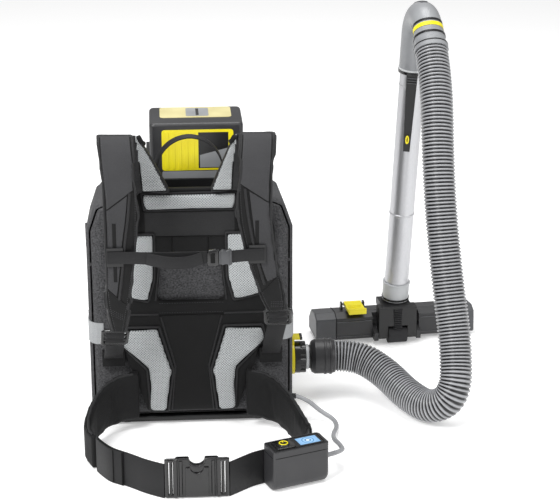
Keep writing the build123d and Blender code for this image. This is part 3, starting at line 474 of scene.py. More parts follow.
# ---- hose and cable ----
hoseRoute = dict(
    points=[(214, 5, 58), (248, 5, 58), (286, -25, 43), (314, -77, 27), (343, -122, 25), (374, -139, 53),
            (378, -106, 114), (370, -72, 190), (362, -40, 280), (359, -8, 368), (362.1, 43.9, 464.5),
                (359.2, 80.7, 502.1)],
    diameter=48.0, pitch=5.2, groove=3.0, length=0.731)
cableRoute = dict(
    points=[(150, -78, 32), (166, -80, 27), (184, -90, 13), (203, -104, 6), (206, -130, 6), (197, -160, 10),
            (194, -192, 17), (199, -226, 25), (202.6, -258.4, 30), (174.6, -269.1, 30)],
    diameter=6.5, length=0.2488)


def newGroup(name, labels):
    # geometry node group with a geometry in and out and one number input per label
    tree = bpy.data.node_groups.new(name, "GeometryNodeTree")
    face = tree.interface
    face.new_socket("Geometry", in_out="INPUT", socket_type="NodeSocketGeometry")
    for label in labels:
        face.new_socket(label, in_out="INPUT", socket_type="NodeSocketFloat")
    face.new_socket("Geometry", in_out="OUTPUT", socket_type="NodeSocketGeometry")
    return tree, addNode(tree, "NodeGroupInput")


def hoseTree(finish):
    tree, start = newGroup("ribsAlongHose", ("Pitch", "Groove", "Radius", "Step"))
    fine = addNode(tree, "GeometryNodeResampleCurve", {"mode": "LENGTH"},
        links={"Curve": (start, "Geometry"), "Length": (start, "Step")})
    along = addNode(tree, "GeometryNodeSplineParameter")
    turns = addNode(tree, "ShaderNodeMath", {"operation": "DIVIDE"},
        links={0: (along, "Length"), 1: (start, "Pitch")})
    angle = addNode(tree, "ShaderNodeMath", {"operation": "MULTIPLY"}, {1: 2 * math.pi},
        {0: (turns, "Value")})
    wave = addNode(tree, "ShaderNodeMath", {"operation": "COSINE"}, links={0: (angle, "Value")})
    half = addNode(tree, "ShaderNodeMath", {"operation": "MULTIPLY_ADD"}, {1: 0.5, 2: 0.5},
        {0: (wave, "Value")})
    crown = addNode(tree, "ShaderNodeMath", {"operation": "POWER"}, {1: 0.55}, {0: (half, "Value")})
    sunk = addNode(tree, "ShaderNodeMath", {"operation": "MULTIPLY"},
        links={0: (crown, "Value"), 1: (start, "Groove")})
    base = addNode(tree, "ShaderNodeMath", {"operation": "SUBTRACT"},
        links={0: (start, "Radius"), 1: (start, "Groove")})
    radius = addNode(tree, "ShaderNodeMath", {"operation": "ADD"},
        links={0: (base, "Value"), 1: (sunk, "Value")})
    kept = addNode(tree, "GeometryNodeStoreNamedAttribute", {"data_type": "FLOAT", "domain": "POINT"},
        {"Name": "ribHeight"},
                   {"Geometry": (fine, "Curve"), "Value": (crown, "Value")})
    circle = addNode(tree, "GeometryNodeCurvePrimitiveCircle", inputs={"Resolution": 36, "Radius": 1.0})
    skin = addNode(tree, "GeometryNodeCurveToMesh", inputs={"Fill Caps": True},
                   links={"Curve": (kept, "Geometry"), "Profile Curve": (circle, "Curve"),
                       "Scale": (radius, "Value")})
    real = addNode(tree, "GeometryNodeRealizeInstances", links={"Geometry": (skin, "Mesh")})
    painted = addNode(tree, "GeometryNodeSetMaterial", inputs={"Material": finish},
        links={"Geometry": (real, "Geometry")})
    addNode(tree, "NodeGroupOutput", links={"Geometry": (painted, "Geometry")})
    return tree


def setInputs(modifier, values):
    for item in modifier.node_group.interface.items_tree:
        if item.item_type == "SOCKET" and item.in_out == "INPUT" and item.name in values:
            modifier[item.identifier] = values[item.name]


hosePath = lineOf([Vector(p) * mm for p in hoseRoute["points"]])
hoseCurve = splineCurve("hoseLine", hosePath, "POLY")
modifier = hoseCurve.modifiers.new("ribs", "NODES")
modifier.node_group = hoseTree(paint["hose"])
setInputs(modifier, {"Pitch": hoseRoute["pitch"] * mm, "Groove": hoseRoute["groove"] * mm,
                     "Radius": hoseRoute["diameter"] / 2 * mm, "Step": hoseRoute["pitch"] / 6 * mm})
hose = smooth(bake(hoseCurve, "ribbedHose"))
place(hose, "pack", "hose_grey", "suction_hose")

cable = splineCurve("controlCable", [Vector(p) * mm for p in cableRoute["points"]], "NURBS",
    cableRoute["diameter"] / 2 * mm, 5)
cable.data.materials.append(paint["cable"])
place(cable, "pack", "cable_grey", "control_cable")
print("hose and cable done")


# ---- padded cloth ----
def cadCopy(node):
    form = bmesh.new()
    form.from_mesh(nodes[node].data)
    bmesh.ops.remove_doubles(form, verts=form.verts, dist=0.00002)
    return form


def looseParts(form):
    form.verts.index_update()
    seen = set()
    groups = []
    for vert in form.verts:
        if vert in seen:
            continue
        stack, group = [vert], []
        seen.add(vert)
        while stack:
            here = stack.pop()
            group.append(here)
            for edge in here.link_edges:
                other = edge.other_vert(here)
                if other not in seen:
                    seen.add(other)
                    stack.append(other)
        groups.append(group)
    return groups


def remeshed(name, form, voxel, shrink):
    mesh = bpy.data.meshes.new(name)
    form.to_mesh(mesh)
    form.free()
    piece = link(name, mesh)
    piece.data.materials.clear()
    modifier = piece.modifiers.new("even", "REMESH")
    modifier.mode = "VOXEL"
    modifier.voxel_size = voxel * mm
    relax = piece.modifiers.new("relax", "SMOOTH")
    relax.factor = 0.5
    relax.iterations = 3
    out = bake(piece, name)
    if shrink:
        normals = [v.normal.copy() for v in out.data.vertices]
        for vert, normal in zip(out.data.vertices, normals):
            vert.co -= normal * shrink * mm
    return out


def swell(piece, pressure, cap, stiffness=15.0):
    start = [v.co.copy() for v in piece.data.vertices]
    cloth = piece.modifiers.new("swell", "CLOTH")
    how = cloth.settings
    how.quality = 5
    how.mass = 0.3
    how.tension_stiffness = stiffness
    how.compression_stiffness = stiffness
    how.shear_stiffness = stiffness / 2
    how.bending_stiffness = 0.5
    how.effector_weights.gravity = 0
    how.use_pressure = True
    how.uniform_pressure_force = pressure
    cloth.collision_settings.use_collision = False
    cloth.point_cache.frame_start = 1
    cloth.point_cache.frame_end = 20
    for number in range(1, 21):
        scene.frame_set(number)
    graph = bpy.context.evaluated_depsgraph_get()
    swollen = [v.co.copy() for v in piece.evaluated_get(graph).data.vertices]
    piece.modifiers.remove(cloth)
    scene.frame_set(1)
    for vert, a, b in zip(piece.data.vertices, start, swollen):
        step = b - a
        if step.length > cap * mm:
            step = step.normalized() * cap * mm
        vert.co = a + step
    return piece


def finer(piece, name, levels=1):
    modifier = piece.modifiers.new("finer", "SUBSURF")
    modifier.levels = levels
    modifier.render_levels = levels
    return smooth(bake(piece, name))


def treeOf(piece):
    mesh = piece.data
    return BVHTree.FromPolygons([v.co for v in mesh.vertices], [tuple(p.vertices) for p in mesh.polygons])


def onFront(tree, outline, lift=0.0, step=4.0, fall=None, closed=False):
    # lays a line drawn in the front view (mm) on the pad's front face
    flat = [Vector((x, 0, z)) * mm for x, z in outline]
    if closed:
        flat.append(flat[0].copy())
    out = []
    for point in even(flat, step * mm):
        hit = tree.ray_cast(Vector((point.x, -0.6, point.z)), Vector((0, 1, 0)))
        if hit[0] is None:
            near = tree.find_nearest(Vector((point.x, fall if fall is not None else -0.2, point.z)))
            if near[0] is None or abs(near[0].x - point.x) > 0.004 or abs(near[0].z - point.z) > 0.004:
                continue
            out.append(near[0] - Vector((0, lift * mm, 0)))
        else:
            out.append(hit[0] - Vector((0, lift * mm, 0)))
    return out


def rounded(outline):
    # the same control points taken as one smooth line
    return [(p.x / mm, p.z / mm) for p in lineOf([Vector((x, 0, z)) * mm for x, z in outline])]


def inside(x, z, outline):
    hit = False
    for (x0, z0), (x1, z1) in zip(outline, outline[1:] + outline[:1]):
        if (z0 > z) != (z1 > z) and x < (x1 - x0) * (z - z0) / (z1 - z0) + x0:
            hit = not hit
    return hit


def paintZones(piece, base, zones, frontOnly=True):
    mesh = piece.data
    mesh.materials.clear()
    for finish in [base] + [z[0] for z in zones]:
        mesh.materials.append(paint[finish])
    for face in mesh.polygons:
        face.material_index = 0
        if frontOnly and face.normal.y > -0.15:
            continue
        x, z = face.center.x / mm, face.center.z / mm
        for index, (finish, outline) in enumerate(zones):
            if inside(x, z, outline):
                face.material_index = index + 1
    return piece


def stitchTree(finish):
    tree, start = newGroup("stitchesAlongLine", ("Pitch", "Length", "Thickness"))
    spots = addNode(tree, "GeometryNodeCurveToPoints", {"mode": "LENGTH"},
        links={"Curve": (start, "Geometry"), "Length": (start, "Pitch")})
    size = addNode(tree, "ShaderNodeCombineXYZ",
        links={"X": (start, "Thickness"), "Y": (start, "Thickness"), "Z": (start, "Length")})
    bead = addNode(tree, "GeometryNodeMeshIcoSphere", inputs={"Radius": 0.5, "Subdivisions": 1})
    spread = addNode(tree, "GeometryNodeInstanceOnPoints",
        links={"Points": (spots, "Points"), "Instance": (bead, "Mesh"),
                     "Rotation": (spots, "Rotation"), "Scale": (size, "Vector")})
    real = addNode(tree, "GeometryNodeRealizeInstances", links={"Geometry": (spread, "Instances")})
    painted = addNode(tree, "GeometryNodeSetMaterial", inputs={"Material": finish},
        links={"Geometry": (real, "Geometry")})
    addNode(tree, "NodeGroupOutput", links={"Geometry": (painted, "Geometry")})
    return tree


stitching = {}


def stitches(name, points, finish="thread", pitch=3.6, length=2.6, thickness=0.75):
    if finish not in stitching:
        stitching[finish] = stitchTree(paint[finish])
    row = splineCurve(name, points, "POLY")
    modifier = row.modifiers.new("stitches", "NODES")
    modifier.node_group = stitching[finish]
    setInputs(modifier, {"Pitch": pitch * mm, "Length": length * mm, "Thickness": thickness * mm})
    return smooth(bake(row, name))


def webStrip(name, points, across, width, thickness, finish="webbing", fixed=False, twist=None):
    # flat webbing along a smooth line, its UV in metres along and across
    line = lineOf([Vector(p) * mm for p in points], "POLY" if fixed else "NURBS")
    line = even(line, 2.5 * mm)
    side = Vector(across)
    form = bmesh.new()
    uv = form.loops.layers.uv.new("strip")
    w, t = width / 2 * mm, thickness / 2 * mm
    r = min(0.8 * mm, t * 0.95)
    section = [(-w, -t + r * 0.4), (-w + r, -t), (w - r, -t), (w, -t + r * 0.4), (w, t - r * 0.4),
        (w - r, t), (-w + r, t), (-w, t - r * 0.4)]
    rings = []
    far = 0.0
    travelled = []
    for i, point in enumerate(line):
        if i:
            far += (point - line[i - 1]).length
        travelled.append(far)
        ahead = (line[min(i + 1, len(line) - 1)] - line[max(i - 1, 0)]).normalized()
        s = (side - ahead * side.dot(ahead)).normalized()
        up = ahead.cross(s).normalized()
        if twist:
            a = math.radians(twist(i / (len(line) - 1)))
            s, up = s * math.cos(a) + up * math.sin(a), up * math.cos(a) - s * math.sin(a)
        rings.append([form.verts.new(point + s * a + up * b) for a, b in section])
    count = len(section)
    for i in range(len(rings) - 1):
        for k in range(count):
            m = (k + 1) % count
            face = form.faces.new((rings[i][k], rings[i][m], rings[i + 1][m], rings[i + 1][k]))
            for loop, (u, a) in zip(face.loops, ((i, k), (i, m), (i + 1, m), (i + 1, k))):
                loop[uv].uv = (travelled[u], section[a][0])
    for i in (0, -1):
        face = form.faces.new(rings[i])
        for loop, a in zip(face.loops, range(count)):
            loop[uv].uv = (travelled[i], section[a][0])
    bmesh.ops.recalc_face_normals(form, faces=form.faces)
    mesh = bpy.data.meshes.new(name)
    form.to_mesh(mesh)
    form.free()
    mesh.materials.append(paint[finish])
    return smooth(link(name, mesh), 40)


def plate(name, outline, y0, y1, finish, plane="XZ"):
    # flat plate from an outline in the front view (mm) or, for XY, seen from above
    form = bmesh.new()
    low, high = [], []
    for a, b in outline:
        for ring, depth in ((low, y0), (high, y1)):
            ring.append(form.verts.new(Vector((a, depth, b) if plane == "XZ" else (a, b, depth)) * mm))
    form.faces.new(low)
    form.faces.new(high)
    for k in range(len(outline)):
        m = (k + 1) % len(outline)
        form.faces.new((low[k], low[m], high[m], high[k]))
    bmesh.ops.recalc_face_normals(form, faces=form.faces)
    mesh = bpy.data.meshes.new(name)
    form.to_mesh(mesh)
    form.free()
    mesh.materials.append(paint[finish])
    return link(name, mesh)


def roundCorners(x0, x1, z0, z1, radius, steps=5):
    out = []
    for cx, cz, start in ((x1 - radius, z1 - radius, 0), (x0 + radius, z1 - radius, 90),
        (x0 + radius, z0 + radius, 180), (x1 - radius, z0 + radius, 270)):
        for k in range(steps + 1):
            a = math.radians(start + 90 * k / steps)
            out.append((cx + radius * math.cos(a), cz + radius * math.sin(a)))
    return out


# ---- shoulder straps ----
straps = {
    "left": dict(
        outline=[(-128, 480), (-121, 418), (-118, 345), (-118, 298), (-121, 226), (-116, 190), (-112, 165),
            (-90, 165), (-80, 225), (-70, 297), (-63, 357), (-69, 403), (-74, 480)],
        outer=[(-119, 475), (-116.1, 426), (-111.5, 378), (-111.9, 315), (-115, 250), (-111.5, 207),
            (-107, 180)],
        inner=[(-80, 475), (-74.5, 418), (-70.5, 390), (-72, 320), (-83, 242), (-91, 199), (-94, 178)],
        seam=[(-111.5, 362.5), (-71, 392.5)],
            pipeLine=[(-80.2, 386), (-83, 350), (-87.9, 321), (-92, 280), (-98, 235)],
        panelEdge=[(-82.6, 384), (-86, 350), (-91, 321), (-95, 280), (-101, 238)],
        endSeam=[(-114, 252), (-94.5, 231.5), (-88, 226)], tack=[(-109.5, 219), (-95, 210)]),
    "right": dict(
        outline=[(119, 480), (113, 418), (111, 353), (118, 293), (129, 220), (133, 206), (130, 190),
            (106, 190), (90, 226), (68, 294), (56, 354), (60, 403), (67, 480)],
        outer=[(112, 475), (107, 420), (104.5, 395), (105.5, 352), (111.5, 308), (119.5, 254), (125.5, 220),
            (124, 200)],
        inner=[(74, 475), (67, 420), (64.3, 396), (64.5, 353), (72.5, 309), (86, 255), (102, 210),
            (110, 198)],
        seam=[(64.3, 396), (104, 369)], pipeLine=[(72.5, 389), (75, 360), (79.7, 329), (88, 285), (98, 252)],
        panelEdge=[(77, 386), (80, 360), (85, 315), (92.5, 280), (101, 256)],
        endSeam=[(92, 236), (114, 262)], tack=[(108, 222), (123, 222)]),
}
for side, line in straps.items():
    label = side.capitalize()
    pad = remeshed("strapPad" + label, cadCopy("shoulder_strap_" + side), 4.0, 1.6)
    pad = finer(swell(pad, 5.0, 3.0), "strapPad" + label)
    seam = line["seam"] if side == "left" else line["seam"][::-1]
    topPanel = line["outer"][:3] + seam + line["inner"][:3][::-1]
    if side == "left":
        lowPanel = [line["seam"][0]] + line["outer"][3:5] + line["endSeam"][:2] + line["panelEdge"][::-1]
    else:
        lowPanel = line["panelEdge"] + [line["endSeam"][1]] + line["outer"][3:5][::-1] + [line["seam"][1]]
    tree = treeOf(pad)
    # the face between the side seams gets the darkest cloth: painted shade in the channel
    paintZones(pad, "midCloth", [("deepCloth", line["outer"] + line["inner"][::-1]),
        ("greyCloth", topPanel), ("greyCloth", lowPanel)])
    # the dark seam lines among these trims are painted shadow
    trims = []
    # the outline binding and piping use the lightened mid-grey cloth as painted highlight
    for key, radius, lift, finish in (("outline", 1.9, -0.6, "midCloth"),
        ("outer", 0.8, -0.2, "paintedShadow"), ("inner", 0.8, -0.2, "paintedShadow"),
                                          ("pipeLine", 2.0, 0.0, "midCloth"),
                                              ("panelEdge", 0.7, -0.1, "paintedShadow"),
                                              ("seam", 0.9, -0.2, "paintedShadow"),
                                              ("endSeam", 0.9, -0.1, "paintedShadow")):
        outline = line[key]
        if key == "outline":
            middle = sum(x for x, z in outline) / len(outline)
            outline = [(x + (2.6 if x < middle else -2.6),
                min(max(z, 169 if side == "left" else 195), 470)) for x, z in outline]
        drawn = onFront(tree, rounded(outline) if len(outline) > 3 else outline, lift, 3.0)
        if len(drawn) > 2:
            trims.append(pipe("trim" + key + label, drawn, radius * mm, finish, 2))
    for key, shift in (("outer", 2.2), ("inner", -2.2)):
        drawn = onFront(tree, rounded([(x + (shift if side == "left" else -shift), z) for x,
            z in line[key]]), 0.1, 2.0)
        trims.append(stitches("stitch" + key + label, drawn, "thread", 3.4, 2.3, 0.6))
    for row in range(4):
        a, b = line["tack"]
        drawn = onFront(tree, [(a[0], a[1] - 3 * row), (b[0], b[1] - 3 * row)], 0.2, 1.0)
        if len(drawn) > 2:
            trims.append(stitches("tack%d" % row + label, drawn, "thread", 2.6, 1.9, 0.7))
    place(pad, "pack", "padded_fabric", "shoulder_strap_" + side)
    place(joinPieces("strapTrim" + label, trims), "pack", "padded_fabric")
print("straps done")

# ---- yokes over the shoulders ----
yokes = {
    "left": dict(edge=[(-74, 462), (-27, 368)], mesh=[(-71, 452), (-67, 405), (-64, 362), (-31, 362)]),
    "right": dict(edge=[(67, 462), (28, 368)], mesh=[(64, 452), (60, 405), (58, 362), (32, 362)]),
}
for side, line in yokes.items():
    label = side.capitalize()
    pad = remeshed("yokePad" + label, cadCopy("shoulder_yoke_" + side), 4.0, 1.4)
    pad = finer(swell(pad, 4.0, 2.2), "yokePad" + label)
    tree = treeOf(pad)
    paintZones(pad, "midCloth", [("mesh", line["mesh"])])
    trims = []
    drawn = onFront(tree, line["edge"], 0.0, 3.0)
    trims.append(pipe("edge" + label, drawn, 3.4 * mm, "blackCloth", 3))
    # the line along the foot of the mesh is a painted shadow line
    drawn = onFront(tree, [line["mesh"][1], line["mesh"][2], line["mesh"][3]], 0.0, 3.0)
    trims.append(pipe("base" + label, drawn, 1.0 * mm, "paintedShadow", 2))
    place(pad, "pack", "padded_fabric", "shoulder_yoke_" + side)
    place(joinPieces("yokeTrim" + label, trims), "pack", "padded_fabric")
print("yokes done")

# ---- back panel and its mesh pads ----
panel = remeshed("backPanel", cadCopy("back_panel"), 4.0, 1.2)
panel = finer(swell(panel, 2.0, 1.6), "backPanel")
panelTree = treeOf(panel)
# the lumbar channel is painted with the darkest cloth as painted shade
paintZones(panel, "blackCloth", [
    ("deepCloth", [(-40, 174), (40, 174), (22, 96), (28, 26), (-28, 26), (-22, 96)]),
    ("midCloth", [(-62, 292), (62, 292), (62, 327), (-62, 327)])])
# the strip below the top edge and the lighter pipes use the mid-grey cloth lightened as painted highlight
panelTrims = []
# the dark seam lines here are painted shadow
for outline, radius, finish in (
        ([(-64, 359), (64, 359)], 2.6, "blackCloth"), ([(-64, 328), (64, 328)], 1.2, "blackCloth"),
            ([(-62, 291), (62, 291)], 1.2, "paintedShadow"),
        ([(-46, 195), (46, 195)], 1.0, "paintedShadow"), ([(-46, 174), (46, 174)], 1.0, "paintedShadow"),
            ([(-50, 196), (-44, 252)], 1.5, "midCloth"), ([(50, 196), (44, 252)], 1.5, "midCloth"),
        ([(-43, 172), (-24, 96), (-30, 28)], 1.4, "midCloth"),
            ([(43, 172), (24, 96), (30, 28)], 1.4, "midCloth"),
        ([(-25, 289), (-25, 256)], 1.0, "paintedShadow"), ([(25, 289), (25, 256)], 1.0, "paintedShadow"),
        ([(-104, 176), (-46, 176)], 1.6, "midCloth"), ([(104, 176), (46, 176)], 1.6, "midCloth")):
    drawn = onFront(panelTree, outline, 0.2, 3.0)
    if len(drawn) > 2:
        panelTrims.append(pipe("panelSeam", drawn, radius * mm, finish, 2))
for outline in ([(-60, 331), (60, 331)], [(-44, 192), (44, 192)], [(-44, 178), (44, 178)]):
    panelTrims.append(stitches("panelStitch", onFront(panelTree, outline, 0.2, 2.0), "thread", 3.4, 2.3, 0.6))
place(panel, "pack", "padded_fabric", "back_panel")
place(joinPieces("panelTrim", panelTrims), "pack", "padded_fabric")

padForm = cadCopy("mesh_pads")
pads = []
trims = []
for number, group in enumerate(looseParts(padForm)):
    single = padForm.copy()
    single.verts.ensure_lookup_table()
    keep = set(v.index for v in group)
    bmesh.ops.delete(single, geom=[v for v in single.verts if v.index not in keep], context="VERTS")
    pad = remeshed("meshPad%d" % number, single, 3.5, 1.0)
    pad = finer(swell(pad, 4.0, 2.0), "meshPad%d" % number)
    paintZones(pad, "mesh", [])
    pads.append(pad)
padForm.free()
meshPads = joinPieces("meshPads", pads)
smooth(meshPads)
upper = [(104, 296), (50, 296), (51, 230), (60, 196), (104, 206)]
lower = [(100, 157), (46, 157), (27, 90), (35, 27), (60, 27), (64, 92), (104, 136)]
# the pad bindings use the mid-grey cloth lightened as painted highlight
for outline in [[(side * x, z) for x, z in shape] for side in (-1, 1) for shape in (upper,
    lower)] + [[(62, 331), (66, 355), (-66, 355), (-62, 331)]]:
    drawn = onFront(panelTree, outline, 1.2, 3.0, closed=True)
    if len(drawn) > 4:
        trims.append(pipe("padBinding", drawn, 2.0 * mm, "midCloth", 3))
place(meshPads, "pack", "spacer_mesh", "mesh_pads")
place(joinPieces("padBindings", trims), "pack", "padded_fabric")
print("back panel done")

# ---- hip belt ----
wingRun = {"left": [(84, -116), (116, -124), (140, -158), (146, -196), (136, -224)],
           "right": [(84, -116), (114, -124), (139, -162), (151, -198), (155, -220)]}
for side in ("left", "right"):
    label = side.capitalize()
    wing = remeshed("beltWing" + label, cadCopy("belt_wing_" + side), 4.0, 1.2)
    wing = finer(swell(wing, 3.0, 2.0), "beltWing" + label)
    paintZones(wing, "blackCloth", [])
    wingTree = treeOf(wing)
    low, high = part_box("belt_wing_" + side)
    sign = -1 if side == "left" else 1
    middle = [Vector((sign * x, y, 0)) * mm for x, y in wingRun[side]]
    trims = []
    # the wing bindings use the mid-grey cloth lightened as painted highlight
    for height, inset in ((low.z, 7), (high.z, -7)):
        rim = [wingTree.find_nearest(Vector((p.x, p.y, height)))[0] for p in even(lineOf(middle), 3 * mm)]
        trims.append(pipe("wingBinding", rim, 1.8 * mm, "midCloth", 3))
        seam = [wingTree.find_nearest(Vector((p.x + sign * 20 * mm, p.y,
            height + inset * mm)))[0] for p in even(lineOf(middle), 2 * mm)]
        trims.append(stitches("wingStitch", seam, "thread", 3.4, 2.3, 0.6))
    place(wing, "pack", "padded_fabric", "belt_wing_" + side)
    place(joinPieces("wingTrim" + label, trims), "pack", "padded_fabric")

boxTurn = math.radians(21)


def fromBox(x, y, z):
    return (134 + x * math.cos(boxTurn) - y * math.sin(boxTurn),
        -289 + x * math.sin(boxTurn) + y * math.cos(boxTurn), z)


beltSize = dict(width=50, thickness=2.4)
back = 18 + 0.3 + beltSize["thickness"] / 2
leftBelt = [(-134, -230, 25), (-118.8, -262.3, 25), (-90, -284, 25), (-64, -308, 25), (-43, -320, 25)]
rightBelt = [(43, -320, 25), (62, -304, 25), fromBox(-49, back, 25), fromBox(24, back, 25), (156, -226, 25)]
webs = webStrip("beltWebLeft", leftBelt, (0, 0, 1), beltSize["width"], beltSize["thickness"])
place(webs, "pack", "webbing", "belt_web_left")
webs = webStrip("beltWebRight", rightBelt, (0, 0, 1), beltSize["width"], beltSize["thickness"])
place(webs, "pack", "webbing", "belt_web_right")

# ---- webbing from the straps, rails, chest strap, carry loop ----
pieces = []
for x in (-102, 88):
    pieces.append(webStrip("rail", [(x, -198.3, 262), (x, -198.3, 345)], (1, 0, 0), 5, 1.6, "deepCloth",
        True))
down = {"left": ((-182, 212), (-160, 176), -107, -111), "right": ((-184, 238), (-166, 204), 118, 112)}
for side, ((y0, z0), (y1, z1), lockX, webX) in down.items():
    way = Vector((0, y1 - y0, z1 - z0)).normalized()
    top = Vector((lockX, y1, z1)) + way * 30.2
    pieces.append(webStrip("strapWeb", [tuple(top), (webX, (top.y - 110) / 2, (top.z + 98) / 2),
        (webX, -102, 110)], (1, 0, 0), 26, 1.8))
    pieces.append(webStrip("tab", [(webX, -101, 99), (webX, -101, 121)], (1, 0, 0), 32, 10, "blackCloth",
        True))
place(joinPieces("strapWebs", pieces), "pack", "webbing", "strap_webs")

chest = dict(height=298, width=17, thickness=1.8)
webY = -190.5 - 7 - 1.6 - 0.3 - 2.5 - 0.9
h = chest["height"]
pieces = [
    webStrip("chestLeft", [(-112, webY, h), (-88, webY, h), (-50, webY - 7, h), (22, webY - 6, h)],
        (0, 0, 1), 17, 1.8),
    webStrip("chestSlack", [(-60, webY - 6.5, h), (-46, webY - 12, h - 2), (-22, webY - 17, h - 4),
        (0, webY - 15, h - 3), (14, webY - 9, h)], (0, 0, 1), 17, 1.6),
    webStrip("chestRight", [(53, webY - 6, h), (74, webY, h), (98, webY, h)], (0, 0, 1), 17, 1.8)]
place(joinPieces("chestWebs", pieces), "chest_strap", "webbing", "chest_webs")

loop = [(-47, -99.5, 364), (-48, -99.5, 394), (-30, -99.5, 425), (2, -99.5, 437), (33, -99.5, 424),
    (49, -99.5, 394), (48, -99.5, 364)]
place(webStrip("carryLoop", loop, (0, 1, 0), 8, 2.4,
    twist=lambda t: 36 - 58 * t + 16 * math.sin(math.pi * t)), "pack", "webbing", "carry_loop")
print("webbing done")

# ---- battery labels ----
low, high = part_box("battery_case")
bx, by, bz = low.x / mm, low.y / mm, high.z / mm
front = [plate("labelField", roundCorners(bx + 17, bx + 117, bz - 68, bz - 9, 4), by - 0.5, by - 0.05,
    "yellow")]
for k in range(5):
    x = bx + 22 + 9 * k
    front.append(plate("labelRib", roundCorners(x, x + 4.5, bz - 66, bz - 12, 1.5), by - 1.0, by - 0.4,
        "yellow"))
front.append(plate("labelBlock", [(bx + 68, bz - 65), (bx + 110, bz - 65), (bx + 110, bz - 13),
    (bx + 68, bz - 13)], by - 0.7, by - 0.4, "labelBlack"))
front.append(plate("labelSlash", [(bx + 70, bz - 64), (bx + 109, bz - 64), (bx + 109, bz - 36),
    (bx + 70, bz - 46)], by - 0.9, by - 0.6, "labelGrey"))
front.append(plate("labelFoot", roundCorners(bx + 17, bx + 117, bz - 80, bz - 69, 2), by - 0.7, by - 0.1,
    "labelGrey"))
top = [plate("topField", roundCorners(bx + 15, bx + 116, by + 30, by + 84, 6), bz - 0.05, bz + 0.5,
    "labelCream", plane="XY"),
       plate("topMark", roundCorners(bx + 52, bx + 84, by + 36, by + 78, 3), bz + 0.4, bz + 0.8,
           "labelGrey", plane="XY"),
       plate("topBar", roundCorners(bx + 66, bx + 70, by + 40, by + 74, 1), bz + 0.7, bz + 1.1,
           "labelBlack", plane="XY")]
place(joinPieces("batteryLabels", front + top), "battery", "yellow_plastic")

# ---- soft pieces inside the body ----
for node, fill, finish, slot in (("dust_bag", 0.5, "paper", "filter_paper"),
    ("exhaust_filter", 0.9, "paper", "filter_paper"),
                                 ("silencer_foam", 0.9, "openFoam", "foam_block")):
    soft = finer(remeshed(node + "Soft", cadCopy(node), 4.5, 0.8), node + "Soft")
    paintZones(soft, finish, [])
    place(soft, "pack", slot, node)


# ---- moulded buckles ----
def bevelled(piece, width, segments=2):
    modifier = piece.modifiers.new("edge", "BEVEL")
    modifier.width = width * mm
    modifier.segments = segments
    modifier.limit_method = "ANGLE"
    name = piece.name
    return smooth(bake(piece, name), 50)


def arcPoints(cx, cz, radius, start, end, steps=12):
    angles = [math.radians(start + (end - start) * k / steps) for k in range(steps + 1)]
    return [(cx + radius * math.cos(a), cz + radius * math.sin(a)) for a in angles]


hip = dict(y=-320, depth=6)
y0, y1 = hip["y"] - hip["depth"], hip["y"] + hip["depth"]
notch = arcPoints(0, 58, 10.5, 180, 360)
body = [(-29, 1), (29, 1), (29, 56), (27, 58)] + notch[::-1] + [(-27, 58), (-29, 56)]
pieces = [bevelled(plate("buckleBody", body, y0 + 3.2, y1, "gloss"), 1.2)]
for side in (-1, 1):
    for x, radius in ((40.2, 2.8), (34.4, 2.2)):
        pieces.append(pipe("buckleBar", [Vector((side * x, hip["y"], z)) * mm for z in (1.8, 20, 40, 56.2)],
            radius * mm, "gloss", 4))
    pieces.append(pipe("buckleBar", [Vector((side * 28.6, hip["y"] - 1.5, z)) * mm for z in (1.8, 20, 40,
        56.2)], 3.2 * mm, "gloss", 4))
    pieces.append(pipe("buckleBar", [Vector((side * 21.5, hip["y"] - 2.6, z)) * mm for z in (2.8, 20, 40,
        55.2)], 2.4 * mm, "gloss", 4))
    for z in (3.0, 55.0):
        pieces.append(pipe("buckleRail", [Vector((side * x, hip["y"], z)) * mm for x in (27, 34, 40.2)],
            2.8 * mm, "gloss", 4))
pieces.append(pipe("notchRim", [Vector((x, y0 + 3.4, z)) * mm for x,
    z in arcPoints(0, 57.6, 11.2, 190, 350)], 1.3 * mm, "gloss", 4))
place(joinPieces("hipBuckleFrame", pieces), "pack", "gloss_black", "hip_buckle_frame")
tongue = [(-15.5, 4), (15.5, 4), (15.5, 46), (12, 46)] + arcPoints(0, 46.5, 9, 360, 180) + [(-12, 46),
    (-15.5, 46)]
place(bevelled(plate("buckleTongue", tongue, y0 + 0.6, y0 + 3.0, "gloss"), 0.9), "buckle_press",
    "gloss_black", "hip_buckle_tongue")

chestY = webY - 6.5
female = [(22, 287), (33, 286), (36, 289), (36, 307), (33, 310), (22, 309), (20.5, 304), (20.5, 292)]
male = [(37, 290), (41, 287), (46, 289), (50, 286.5), (53.5, 288), (53.5, 308), (50, 309.5), (46, 307),
    (41, 309), (37, 306)]
# the slot in the female part is a thin dark plate: painted shadow
pieces = [bevelled(plate("chestFemale", female, chestY - 4, chestY + 3.5, "gloss"), 1.2),
          bevelled(plate("chestMale", male, chestY - 3.2, chestY + 3.0, "capGrey"), 1.0),
          bevelled(plate("chestSlot", [(25, 291), (31, 291), (31, 305), (25, 305)], chestY - 4.6,
              chestY - 3.6, "paintedShadow"), 0.4)]
for x in (37.5, 52):
    pieces.append(pipe("chestEdge", [Vector((x, chestY - 3.2, z)) * mm for z in (289, 298, 307)], 1.2 * mm,
        "capGrey", 3))
place(joinPieces("chestBuckle", pieces), "chest_strap", "gloss_black", "chest_buckle")

